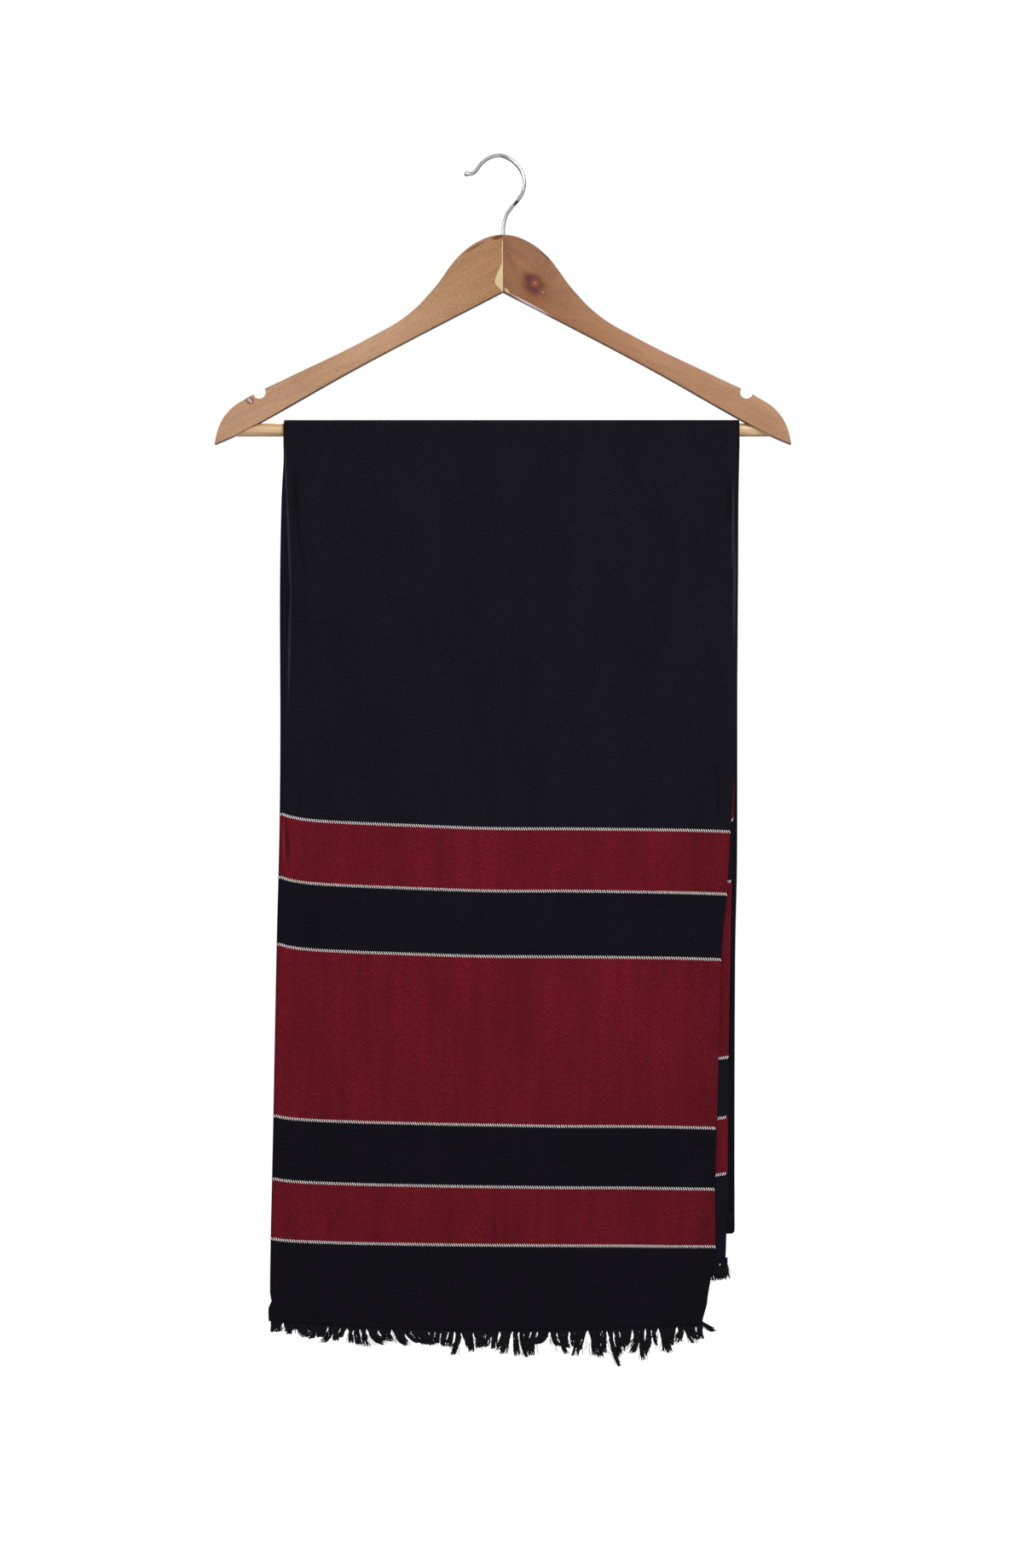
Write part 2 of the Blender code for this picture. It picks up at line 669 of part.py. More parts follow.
def arm(name, side, collection, cutters, surface):
    """One wooden half; side is -1 for the left and 1 for the right."""
    curve = bpy.data.curves.new(name, "CURVE")
    curve.dimensions = "2D"
    curve.fill_mode = "BOTH"
    curve.extrude = ARM_THICKNESS / 2
    curve.resolution_u = 3
    spline = curve.splines.new("BEZIER")
    spline.bezier_points.add(len(ARM_OUTLINE) - 1)
    spline.use_cyclic_u = True
    for point, place in zip(spline.bezier_points, ARM_OUTLINE):
        point.co = (side * place.out, place.z, 0.0)
        point.handle_left_type = place.handle
        point.handle_right_type = place.handle
    outline = bpy.data.objects.new(name, curve)
    outline.rotation_euler = (math.pi / 2, 0.0, 0.0)
    bpy.context.scene.collection.objects.link(outline)
    item = mesh_from_curve(outline, collection)
    item.data.materials.append(surface)
    item.data.shade_smooth()
    item.data.set_sharp_from_angle(angle=math.radians(40))
    rounding = item.modifiers.new("Rounded edges", "BEVEL")
    rounding.width = ARM_EDGE_ROUND
    rounding.segments = 2
    rounding.limit_method = "ANGLE"
    rounding.angle_limit = math.radians(60)
    seam = cutter_box(
        name + "_seam",
        (4 * ARM_OVERRUN, 2 * ARM_THICKNESS, 0.12),
        (side * (GAP / 2 - 2 * ARM_OVERRUN), 0.0, -0.082),
        cutters,
    )
    notch = cutter_cylinder(
        name + "_notch",
        NOTCH_RADIUS,
        2 * ARM_THICKNESS,
        (side * NOTCH_OUT, 0.0, NOTCH_Z),
        (math.pi / 2, 0.0, 0.0),
        cutters,
    )
    socket = cutter_cylinder(
        name + "_socket",
        BAR_RADIUS + GAP,
        0.06,
        (side * (BAR_REACH + GAP - 0.03), 0.0, BAR_Z),
        (0.0, math.pi / 2, 0.0),
        cutters,
    )
    bore = cutter_cylinder(
        name + "_bore",
        WIRE_RADIUS + GAP,
        0.04,
        (0.0, 0.0, SHANK_FOOT_Z - GAP + 0.02),
        (0.0, 0.0, 0.0),
        cutters,
    )
    for cutter in (seam, notch, socket, bore):
        cut(item, cutter)
    return item


def bar(collection, surface):
    bpy.ops.mesh.primitive_cylinder_add(
        vertices=24,
        radius=BAR_RADIUS,
        depth=2 * BAR_REACH,
        location=(0.0, 0.0, BAR_Z),
        rotation=(0.0, math.pi / 2, 0.0),
    )
    item = bpy.context.active_object
    item.name = "hanger_bar"
    for holder in list(item.users_collection):
        holder.objects.unlink(item)
    collection.objects.link(item)
    item.data.materials.append(surface)
    item.data.shade_smooth()
    item.data.set_sharp_from_angle(angle=math.radians(40))
    return item


def hook(collection, surface):
    """The wire, on a smooth curve through its route, with a bead at its open end."""
    places = []
    for index, start in enumerate(HOOK_ROUTE[:-1]):
        before = HOOK_ROUTE[max(index - 1, 0)]
        end = HOOK_ROUTE[index + 1]
        after = HOOK_ROUTE[min(index + 2, len(HOOK_ROUTE) - 1)]
        for step in range(HOOK_SPANS):
            share = step / HOOK_SPANS
            x = through(before[0], start[0], end[0], after[0], share)
            z = through(before[1], start[1], end[1], after[1], share)
            places.append((x, z, 1.0))
    end_x, end_z = HOOK_ROUTE[-1]
    for angle in BEAD_ANGLES:
        turn = math.radians(angle)
        x = end_x - BEAD_RADIUS * (1 - math.cos(turn))
        places.append((x, end_z, BEAD_RADIUS / WIRE_RADIUS * math.sin(turn)))
    curve = bpy.data.curves.new("hanger_hook", "CURVE")
    curve.dimensions = "3D"
    curve.bevel_depth = WIRE_RADIUS
    curve.bevel_resolution = 2
    curve.use_fill_caps = True
    spline = curve.splines.new("POLY")
    spline.points.add(len(places) - 1)
    for point, (x, z, radius) in zip(spline.points, places):
        point.co = (x, 0.0, z, 1.0)
        point.radius = radius
    return add_object("hanger_hook", curve, collection, surface)


def build():
    clear_scene()
    parts = new_collection(COLLECTION_NAME)
    cutters = new_collection("Cutters")
    black = material("black_wool", 0.85)
    red = material("red_wool", 0.8)
    outer_ply(parts, black, red)
    under_ply(parts, black, red)
    hidden_plies(parts, black)
    fringe("fringe_outer", OUTER_LOCKS, OUTER_LENGTHS, outer_hem, -1, 7, parts, black)
    fringe("fringe_under", UNDER_LOCKS, UNDER_LENGTHS, under_hem, 1, 11, parts, black)
    arm("hanger_arm_left", -1, parts, cutters, material("beech", 0.45))
    arm("hanger_arm_right", 1, parts, cutters, material("beech_red", 0.45))
    bar(parts, material("pale_dowel", 0.5))
    hook(parts, material("chrome", 0.15, 1.0))


build()
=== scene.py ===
"""Looks of a striped shawl, folded and hung over the bar of a wooden hanger.

Metres, +Z up, +X to the right of the front, +Y towards the back.
"""

import json
import math
import random
from collections import namedtuple

import bmesh
import bpy
import numpy as np
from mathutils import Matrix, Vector

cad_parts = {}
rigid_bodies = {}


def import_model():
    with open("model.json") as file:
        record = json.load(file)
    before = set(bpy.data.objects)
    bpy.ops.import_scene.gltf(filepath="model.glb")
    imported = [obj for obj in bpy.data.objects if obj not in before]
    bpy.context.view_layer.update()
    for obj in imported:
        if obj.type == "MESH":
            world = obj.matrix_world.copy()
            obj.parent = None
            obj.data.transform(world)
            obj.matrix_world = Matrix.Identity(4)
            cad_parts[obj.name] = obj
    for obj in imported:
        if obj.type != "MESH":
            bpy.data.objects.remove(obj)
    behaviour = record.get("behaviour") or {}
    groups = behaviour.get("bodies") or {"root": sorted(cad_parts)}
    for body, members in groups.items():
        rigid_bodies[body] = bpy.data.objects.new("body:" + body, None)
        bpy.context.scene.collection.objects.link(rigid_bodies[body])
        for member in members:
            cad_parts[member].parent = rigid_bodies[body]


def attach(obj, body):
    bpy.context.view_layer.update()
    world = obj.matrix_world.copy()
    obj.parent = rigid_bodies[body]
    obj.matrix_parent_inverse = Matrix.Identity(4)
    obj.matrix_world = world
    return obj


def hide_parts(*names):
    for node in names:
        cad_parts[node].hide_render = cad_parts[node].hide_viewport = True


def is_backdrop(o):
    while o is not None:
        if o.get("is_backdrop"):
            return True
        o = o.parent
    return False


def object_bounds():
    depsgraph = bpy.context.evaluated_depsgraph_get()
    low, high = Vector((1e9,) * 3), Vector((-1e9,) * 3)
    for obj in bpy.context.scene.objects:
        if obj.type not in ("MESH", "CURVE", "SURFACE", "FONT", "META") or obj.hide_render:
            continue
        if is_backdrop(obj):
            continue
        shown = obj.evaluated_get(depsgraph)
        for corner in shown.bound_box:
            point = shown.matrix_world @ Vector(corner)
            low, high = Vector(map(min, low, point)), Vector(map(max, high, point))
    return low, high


def table(kind, *rows):
    """The rows, with their columns named."""
    return tuple(kind(*row) for row in rows)


# Hanger, as in the solids
GAP = 0.0003
ARM_THICKNESS = 0.014
ARM_EDGE_ROUND = 0.0025
ARM_OVERRUN = 0.008
JOINT = 0.00004
NOTCH_RADIUS = 0.0049
NOTCH_OUT = 0.1877
NOTCH_Z = -0.1818
BAR_RADIUS = 0.005
BAR_Z = -0.2103
BAR_REACH = 0.2145
WIRE_RADIUS = 0.0014
SHANK_FOOT_Z = -0.0820
BEAD_RADIUS = 0.0019

# How the hanger is cut and drawn here
SEAM_CUT_Z = -0.082
SEAM_CUT_HEIGHT = 0.12
SOCKET_LENGTH = 0.06
BORE_LENGTH = 0.04
BAR_EASED = 0.0006
WELD = 0.00001
CURVE_STEPS = 12
HOOK_SPANS = 8
HOOK_SIDES = 20
BEAD_ANGLES = range(48, 176, 8)
FACING = (math.pi / 2, 0, 0)  # turns an upright axis to point at the viewer
ACROSS = (0, math.pi / 2, 0)  # turns an upright axis to run left to right

# Cloth, as in the solids
WALL = 0.001
PLY_WIDTH = 0.35
OUTER_RADIUS = 0.0073
UNDER_DEPTH = 0.0015
FLAP = 0.010
SEAM = 0.0006
ROLL_FREE = 0.0024
ROLL_ON_BAR = 0.00075
ROLL_IN_FOLD = 0.00065
ROLL_SETTLES = 0.012
ROLL_OPENS = 0.070
DIVE = 0.009
BACK_FOLD_Z = -0.8316
BACK_FOLD_RADIUS = 0.0025
BACK_RETURN = 0.014
BACK_FOLD_NEAR = 0.030
FOLD_CORNER = 0.0022
PULL_NEAR = 0.24
PULL_NEAR_REACH = 0.025
PULL_WIDE = 0.56
PULL_WIDE_POWER = 3.4
PULL_REST_POWER = 0.5
LINE_WAVER = 0.0007  # how far a woven line strays up or down
LINE_WAVER_ACROSS = 0.070
LINE_WAVER_DOWN = 0.160

# How finely the cloth is drawn here
ROW_STEP = 0.0034
BACK_ROW_STEP = 0.0046
COLUMN_STEP = 0.0034
FOLDS_ROW_STEP = 0.008
EDGE_COLUMNS = (0.0004, 0.0012, 0.0021, 0.0031, 0.0044, 0.0060)  # in from either edge
BAR_CLEARS = 0.008  # creases start this far below the bar
LINE_FADE = 0.1
FLAP_COLUMNS = 3
CORNER_SHARE = 0.02  # of the width, for the back fold's rounded corner
UNDER_COLUMNS = 62
UNDER_DIVE_COLUMNS = 8
UNDER_DIVE_SHARE = 0.03
UNDER_EDGE_SHARE = 0.995
FOLDS_COLUMNS = 60
ROLL_STEPS = 8
BAR_STEPS = 18
FOLD_STEPS = 10

FrontRow = namedtuple("FrontRow", "x_left x_right z_left z_right sag", defaults=(0.0,))
OUTER_FRONT = table(
    FrontRow,
    (-0.1692, 0.1823, -0.2223, -0.2223),
    (-0.1691, 0.1820, -0.2350, -0.2350),
    (-0.1709, 0.1814, -0.2700, -0.2700),
    (-0.1720, 0.1810, -0.3380, -0.3400),
    (-0.1717, 0.1797, -0.4380, -0.4490),
    (-0.1722, 0.1751, -0.5067, -0.5205),
    (-0.1732, 0.1725, -0.5554, -0.5686),
    (-0.1745, 0.1682, -0.6071, -0.6189),
    (-0.1771, 0.1646, -0.7401, -0.7486),
    (-0.1781, 0.1633, -0.7884, -0.7957),
    (-0.1791, 0.1633, -0.8345, -0.8401),
    (-0.1796, 0.1577, -0.8760, -0.8788, 0.0020),
    (-0.1783, 0.1571, -0.8822, -0.8845, 0.0030),
    (-0.1808, 0.1556, -0.8880, -0.8898, 0.0042),
    (-0.1806, 0.1526, -0.8978, -0.9010, 0.0048),
)
OUTER_THREADS = (5, 6, 7, 8, 9, 10)  # the rows that lie on a white thread
UNDER_FRONT = table(
    FrontRow,
    (0.0, 0.1798, -0.2823, -0.2823),
    (0.0, 0.1800, -0.3480, -0.3230),
    (0.0, 0.1797, -0.4300, -0.3850),
    (0.0, 0.1790, -0.5067, -0.4547),
    (0.0, 0.1776, -0.5554, -0.5113),
    (0.0, 0.1764, -0.6071, -0.5587),
    (0.0, 0.1737, -0.7401, -0.6943),
    (0.0, 0.1733, -0.7884, -0.7404),
    (0.0, 0.1729, -0.8345, -0.7839),
    (0.0, 0.1721, -0.8800, -0.8338),
    (0.0, 0.1714, -0.8978, -0.8517),
)
UNDER_THREADS = (3, 4, 5, 6, 7, 8)
BackRow = namedtuple("BackRow", "x_left x_right z")
OUTER_BACK = table(
    BackRow,
    (-0.1692, 0.1823, -0.2223),
    (-0.1696, 0.1820, -0.2400),
    (-0.1706, 0.1816, -0.2700),
    (-0.1719, 0.1814, -0.4100),
    (-0.1716, 0.1812, -0.5400),
    (-0.1712, 0.1797, -0.6200),
    (-0.1712, 0.1792, -0.7700),
    (-0.1712, 0.1793, -0.8050),
    (-0.1710, 0.1790, -0.8286),
)
FoldsRow = namedtuple("FoldsRow", "x_left x_right z near far", defaults=(0.0023, 0.0045))
FOLDS_FRONT = table(
    FoldsRow,
    (-0.1440, 0.1650, -0.8460),
    (-0.1440, 0.1690, -0.7400),
    (-0.1410, 0.1720, -0.6100),
    (-0.1370, 0.1745, -0.5000),
    (-0.1350, 0.1755, -0.4000),
    (-0.1350, 0.1758, -0.3300),
    (-0.1350, 0.1760, -0.3050),
    (-0.1350, 0.1762, -0.2815),
    (-0.1360, 0.1765, -0.2680, 0.0010, 0.0040),
    (-0.1420, 0.1770, -0.2450, 0.0010, 0.0034),
    (-0.1520, 0.1780, -0.2230, 0.0010, 0.0026),
    (-0.1560, 0.1790, -0.2103, 0.0010, 0.0020),
)
FOLDS_BACK = table(
    FoldsRow,
    (-0.1560, 0.1790, -0.2103, 0.0010, 0.0020),
    (-0.1560, 0.1785, -0.2230, 0.0010, 0.0032),
    (-0.1560, 0.1775, -0.2700, 0.0008, 0.0042),
    (-0.1565, 0.1770, -0.4100, 0.0008, 0.0042),
    (-0.1560, 0.1750, -0.6200, 0.0008, 0.0042),
    (-0.1560, 0.1745, -0.8262, 0.0008, 0.0042),
)
FOLDS_GROOVE = 0.0035
FOLDS_STEPS = (0.0, 0.0022, 0.0009)
LIP_ANGLES = (-70, -35, 0, 35, 70)
LIP_REACH = 1.6
LIP_FULLNESS = 0.92
ROUND_ENDS = ((0.35, 0.937), (0.65, 0.76), (0.85, 0.527), (0.96, 0.28), (0.995, 0.1))

# Soft troughs and ridges shared by the plies, below the bar
Ripple = namedtuple("Ripple", "x_top x_hem half_width depth")
RIPPLES = table(
    Ripple,
    (-0.140, -0.152, 0.028, 0.0010),
    (-0.088, -0.104, 0.034, -0.0016),
    (-0.024, -0.018, 0.040, 0.0021),
    (0.038, 0.050, 0.030, -0.0015),
    (0.092, 0.100, 0.032, 0.0017),
    (0.150, 0.142, 0.028, -0.0015),
)
RIPPLE_FADE = 0.20
RIPPLE_BOTTOM_Z = -0.90

# Finer creases: the middle, half the length and width, the depth, and how far the top leans right
Crease = namedtuple("Crease", "x z half_length half_width depth lean")
FRONT_CREASES = table(
    Crease,
    (-0.1560, -0.293, 0.045, 0.0042, 0.0007, 0.02),
    (-0.1490, -0.330, 0.060, 0.0060, -0.0005, 0.05),
    (0.1740, -0.268, 0.030, 0.0035, 0.0006, -0.04),
    (0.1690, -0.300, 0.050, 0.0060, -0.0004, -0.06),
    (0.1640, -0.490, 0.034, 0.0040, 0.0007, 0.00),
    (0.1560, -0.515, 0.050, 0.0060, -0.0004, 0.05),
    (-0.1580, -0.502, 0.018, 0.0034, 0.0006, -0.10),
    (-0.1200, -0.640, 0.120, 0.0080, 0.0006, 0.05),
    (-0.0700, -0.700, 0.150, 0.0095, -0.0005, -0.03),
    (-0.0450, -0.600, 0.100, 0.0070, 0.0004, 0.04),
    (0.0100, -0.680, 0.140, 0.0085, 0.0006, 0.02),
    (0.0460, -0.730, 0.110, 0.0070, -0.0004, -0.05),
    (0.0800, -0.560, 0.090, 0.0075, 0.0005, 0.03),
    (0.1180, -0.700, 0.120, 0.0065, -0.0005, 0.04),
    (0.1360, -0.620, 0.080, 0.0060, 0.0005, -0.02),
    (-0.0150, -0.850, 0.045, 0.0090, 0.0005, -0.10),
    (0.0900, -0.862, 0.035, 0.0080, -0.0005, 0.12),
    (-0.1400, -0.860, 0.035, 0.0080, -0.0004, 0.08),
    (-0.0950, -0.380, 0.090, 0.0100, 0.0004, 0.02),
    (0.0350, -0.400, 0.120, 0.0110, -0.0004, -0.02),
)
# Sharp creases beside the front's edges. In the colour as well, a groove is painted shade and a ridge a
# painted highlight.
PRESSED_CREASES = table(
    Crease,
    (-0.1576, -0.2790, 0.026, 0.0018, 0.0008, -0.03),
    (-0.1553, -0.3040, 0.024, 0.0015, 0.0008, -0.15),
    (-0.1598, -0.2600, 0.036, 0.0034, 0.0004, -0.02),
    (-0.1673, -0.2420, 0.030, 0.0011, -0.0003, -0.03),
    (-0.1650, -0.2960, 0.064, 0.0013, -0.0004, -0.04),
    (-0.1646, -0.3800, 0.060, 0.0013, -0.0004, 0.02),
    (-0.1670, -0.3200, 0.090, 0.0011, 0.0004, -0.01),
    (0.1735, -0.2697, 0.025, 0.0024, 0.0009, 0.01),
    (0.1772, -0.2850, 0.048, 0.0013, -0.0004, 0.01),
    (0.1782, -0.3355, 0.054, 0.0015, -0.0004, 0.01),
    (0.1655, -0.4903, 0.028, 0.0014, 0.0007, 0.00),
    (-0.1576, -0.5034, 0.009, 0.0013, 0.0005, 0.40),
    (-0.1660, -0.5290, 0.024, 0.0024, 0.0005, -0.03),
    (-0.1690, -0.5300, 0.022, 0.0010, -0.0003, -0.03),
)
BACK_CREASES = table(
    Crease,
    (-0.1500, -0.300, 0.060, 0.0050, -0.0007, 0.03),
    (-0.1050, -0.560, 0.160, 0.0085, -0.0006, 0.02),
    (-0.0600, -0.430, 0.120, 0.0100, 0.0005, -0.04),
    (-0.0200, -0.680, 0.130, 0.0080, -0.0006, 0.03),
    (0.0260, -0.520, 0.170, 0.0095, 0.0005, 0.02),
    (0.0700, -0.640, 0.110, 0.0070, -0.0005, -0.05),
    (0.1150, -0.470, 0.140, 0.0090, -0.0006, 0.03),
    (0.1480, -0.730, 0.080, 0.0060, 0.0005, 0.06),
    (0.1600, -0.300, 0.050, 0.0050, 0.0005, -0.03),
    (-0.1300, -0.760, 0.055, 0.0065, 0.0005, -0.05),
)
CREASES = {"front": FRONT_CREASES + PRESSED_CREASES, "back": BACK_CREASES}
LEFT_ROOM = 0.4  # added to a place, as the next is, so that it counts up from nothing
FOOT_ROOM = 1.2
WAVER_CELLS = (64, 32)
WAVER_DEPTH = 0.00022
WAVER_ACROSS = 0.016
WAVER_DOWN = 0.120
CREASE_FADE = 0.045

# Fringe, as in the solids
STRIP_HEIGHT = 0.002
LOCK_SHARE = 0.6
OUTER_LOCKS = 68
UNDER_LOCKS = 60
LOCK_SPREAD = 0.30
LOCK_LEAN = 0.0030
TIP_SPACING = 0.0022
LockLength = namedtuple("LockLength", "across length")
OUTER_LENGTHS = table(
    LockLength,
    (0.00, 0.008),
    (0.12, 0.011),
    (0.32, 0.013),
    (0.55, 0.019),
    (0.72, 0.021),
    (0.86, 0.024),
    (0.94, 0.018),
    (1.00, 0.012),
)
UNDER_LENGTHS = table(LockLength, (0.0, 0.010), (0.5, 0.014), (1.0, 0.0165))
YARN_RADIUS = 0.00046
YARN_SIDES = 4
GATHER = 0.0042  # how far below the hem the yarns draw together
WISPS = 6
WISP_RADIUS = 0.00017
CLUMP_SIZES = (1, 2, 2, 3, 4, 5)
CLUMP_LEAN = 0.0040
CLUMP_PULL = (0.12, 0.52)
CLUMP_REACH = (0.52, 0.90)
CLUMP_HOOK = 0.0046  # how far a clump's feet turn aside
Tuft = namedtuple("Tuft", "yarns radius front")  # front is how much of its roundness stands forward
Fringe = namedtuple("Fringe", "name locks lengths inward seed tuft corner_fall corner_lean")
OUTER_FRINGE = Fringe(
    "fringe_outer_yarns", OUTER_LOCKS, OUTER_LENGTHS, -1, 7, Tuft(17, 0.0021, 1.0), 0.0045, 0.0090
)
UNDER_FRINGE = Fringe(
    "fringe_under_yarns", UNDER_LOCKS, UNDER_LENGTHS, 1, 11, Tuft(24, 0.0032, 0.1), 0.0125, -0.0045
)
LOCK_SWAY = 0.002
TUFT_ABOVE = 0.0010  # how far above the strip the yarns start
TUFT_TWIST = 3.0
TUFT_BOW = 0.0012
TUFT_STEPS = 11
TUFT_DEPTH = 0.7
LEAN_POWER = 1.4
ROOT_OVERLAP = 1.05
FRAY_FROM = 0.6
FRAY = 2.5
TIP_FULLNESS = 0.45
YARN_CUT_SHORT = 0.42
CRIMP = 0.00016
WISP_STEPS = 6
WISP_AWAY = 0.0045
WISP_RISE = 0.0015
WISP_STRAY = 0.00025
WISP_STRAY_DEPTH = 0.0004

# Weave
TWILL_ACROSS = 0.00176  # from one slanting rib to the next, across the cloth
TWILL_DOWN = 0.00186
DASH_HEIGHT = 0.0024  # of a white thread line
DASH_SHIFT = 0.0013  # how far each dash leans sideways on its way down
DASH_RADIUS = 0.00036
DashRing = namedtuple("DashRing", "place fullness")
DASH_RINGS = table(
    DashRing,
    (-0.50, 0.45),
    (-0.42, 0.95),
    (-0.20, 0.86),
    (0.00, 1.05),
    (0.20, 0.86),
    (0.42, 0.95),
    (0.50, 0.45),
)
DASH_STRAY = 0.00006
DASH_FATNESS = (0.93, 1.07)
DASH_TURN = 0.37  # how far the yarn's twist moves on from dash to dash
DASH_SUNK = 0.1  # how deep a dash lies in the cloth, in radii
DASH_END = 0.4  # past this place it dives
DASH_END_SUNK = 12.8
THREAD_SIDES = 6
UNDER_THREADS_FROM = 0.10
UNDER_THREAD_POINTS = 30

ArmPoint = namedtuple("ArmPoint", "out z handle")
ARM_OUTLINE = table(
    ArmPoint,
    (-ARM_OVERRUN, -0.0612, "VECTOR"),
    (0.0040, -0.0606, "AUTO"),
    (0.0180, -0.0650, "AUTO"),
    (0.0329, -0.0758, "AUTO"),
    (0.0540, -0.1027, "AUTO"),
    (0.0735, -0.1222, "AUTO"),
    (0.1014, -0.1390, "AUTO"),
    (0.1670, -0.1712, "AUTO"),
    (0.1960, -0.1855, "AUTO"),
    (0.2105, -0.1955, "AUTO"),
    (0.2185, -0.2075, "AUTO"),
    (0.2223, -0.2214, "VECTOR"),
    (0.2070, -0.2148, "AUTO"),
    (0.1066, -0.1592, "AUTO"),
    (0.0000, -0.1036, "VECTOR"),
    (-ARM_OVERRUN, -0.1036, "VECTOR"),
)
HOOK_ROUTE = (
    (0.0000, SHANK_FOOT_Z),
    (0.0000, -0.0680),
    (0.0002, -0.0545),
    (0.0022, -0.0452),
    (0.0064, -0.0385),
    (0.0116, -0.0325),
    (0.0155, -0.0255),
    (0.0163, -0.0170),
    (0.0132, -0.0085),
    (0.0070, -0.0022),
    (0.0000, WIRE_RADIUS),
    (-0.0062, 0.0015),
    (-0.0122, -0.0008),
    (-0.0170, -0.0047),
    (-0.0208, -0.0098),
    (-0.0236, -0.0120),
    (-0.0262, -0.0124),
)

# Colours of the wool
BLACK_DEEP = (0.0022, 0.0018, 0.0046)
BLACK_LIGHT = (0.0104, 0.0092, 0.0186)
BLACK_HEATHER = (0.0155, 0.0145, 0.0250)
# Painted shade for the pressed creases' grooves, and painted highlight for their ridges
BLACK_SHADED = (0.0012, 0.0010, 0.0020)
BLACK_PAINTED_HIGHLIGHT = (0.0260, 0.0240, 0.0320)
RED_DEEP = (0.078, 0.0019, 0.0066)
RED_LIGHT = (0.228, 0.0070, 0.0185)
RED_DARK_HEATHER = (0.052, 0.0022, 0.0060)
RED_BRIGHT_HEATHER = (0.290, 0.018, 0.034)
# Painted shade for the pressed creases' grooves in the red, and painted highlight for their ridges
RED_SHADED = (0.046, 0.0016, 0.0050)
RED_PAINTED_HIGHLIGHT = (0.190, 0.0160, 0.0300)
WHITE_DARK = (0.84, 0.81, 0.78)
WHITE_LIGHT = (0.97, 0.96, 0.94)
FRINGE_DARK = (0.0020, 0.0018, 0.0034)
FRINGE_LIGHT = (0.0085, 0.0078, 0.0120)

# Camera and light
CAMERA_X = 0.0066
CAMERA_Z = -0.4837
CAMERA_AWAY = 3.0
FRAME_HEIGHT = 1.2113
SENSOR = 36.0
FLOOR_Z = -1.30
FLOOR_RADIUS = 0.75
FLOOR_THICKNESS = 0.01
Lamp = namedtuple("Lamp", "name place size power")
LAMPS = table(
    Lamp,
    ("Key", (0.95, -1.5, 0.80), 0.8, 35.0),
    ("Fill", (-1.9, -1.7, 0.3), 1.4, 12.0),
    ("Back", (-0.6, 2.0, 0.6), 1.4, 58.0),
)
LAMP_AIM = (0.0, 0.0, -0.45)
WorldLevel = namedtuple("WorldLevel", "axis low high at_low at_high")
WORLD_LEVELS = table(WorldLevel, (2, -0.6, 0.8, 0.90, 1.00), (1, -0.15, 0.65, 0.57, 0.14))


# Curves of the drape


def smooth_step(share):
    share = np.clip(share, 0.0, 1.0)
    return share * share * (3 - 2 * share)


def blend(a, b, share):
    return a + (b - a) * share


def through(before, start, end, after, share):
    """A smooth curve's value between start and end, given its neighbours."""
    bend = 2 * before - 5 * start + 4 * end - after
    twist = 3 * (start - end) + after - before
    return start + 0.5 * share * ((end - before) + share * (bend + share * twist))


def stretches(rows):
    """Each stretch between two rows: the row before it, its two rows and the row after it."""
    last = len(rows) - 1
    for index in range(last):
        yield rows[max(index - 1, 0)], rows[index], rows[index + 1], rows[min(index + 2, last)]


def fine_rows(rows, field, step):
    """The rows, with smooth ones put between them about a step apart, and each table row's new place."""
    made = []
    places = []
    for stretch in stretches(rows):
        height = abs(getattr(stretch[2], field) - getattr(stretch[1], field))
        spans = max(1, round(height / step))
        places.append(len(made))
        for part in range(spans):
            made.append(type(rows[0])(*(through(*column, part / spans) for column in zip(*stretch))))
    places.append(len(made))
    made.append(rows[-1])
    return made, places


def waver_table(seed):
    return np.random.default_rng(seed).uniform(-1, 1, WAVER_CELLS)


WAVERS = {"front": waver_table(5), "back": waver_table(6), "lines": waver_table(9)}


def waver(x, z, side, cell_across, cell_down):
    """A soft uneven rise and fall, from a table of seeded draws."""
    draws = WAVERS[side]
    across = (x + LEFT_ROOM) / cell_across
    down = (z + FOOT_ROOM) / cell_down
    i = np.floor(across).astype(int)
    j = np.floor(down).astype(int)
    s = smooth_step(across - i)
    t = smooth_step(down - j)

    def at(di, dj):
        return draws[(i + di) % WAVER_CELLS[0], (j + dj) % WAVER_CELLS[1]]

    return blend(blend(at(0, 0), at(1, 0), s), blend(at(0, 1), at(1, 1), s), t)


def relief(x, z, side):
    """How far folds and creases push the cloth back here."""
    x = np.asarray(x, float)
    z = np.asarray(z, float)
    down = (BAR_Z - z) / (BAR_Z - RIPPLE_BOTTOM_Z)
    broad = 0.0
    for fold in RIPPLES:
        middle = blend(fold.x_top, fold.x_hem, down)
        broad = broad + fold.depth * np.exp(-(((x - middle) / fold.half_width) ** 2))
    broad = broad * smooth_step((BAR_Z - z) / RIPPLE_FADE)
    fine = WAVER_DEPTH * waver(x, z, side, WAVER_ACROSS, WAVER_DOWN)
    for crease in CREASES[side]:
        along = np.clip((z - crease.z) / crease.half_length, -1, 1)
        off = x - crease.x - crease.lean * (z - crease.z)
        fine = fine + crease.depth * (1 - along**2) ** 2 * np.exp(-((off / crease.half_width) ** 2))
    near_bar = smooth_step((BAR_Z - z - BAR_CLEARS) / CREASE_FADE)
    if side == "back":
        near_bar = near_bar * smooth_step((z - BACK_FOLD_Z) / CREASE_FADE)
    return broad + fine * near_bar


def front_points(x, z, depth):
    return np.stack(np.broadcast_arrays(x, -OUTER_RADIUS + depth + relief(x, z, "front"), z), -1)


def bar_points(x, angle, depth):
    radius = OUTER_RADIUS - depth
    return np.stack(np.broadcast_arrays(x, -radius * np.cos(angle), BAR_Z + radius * np.sin(angle)), -1)


def back_points(x, z, depth):
    return np.stack(np.broadcast_arrays(x, OUTER_RADIUS - depth + relief(x, z, "back"), z), -1)


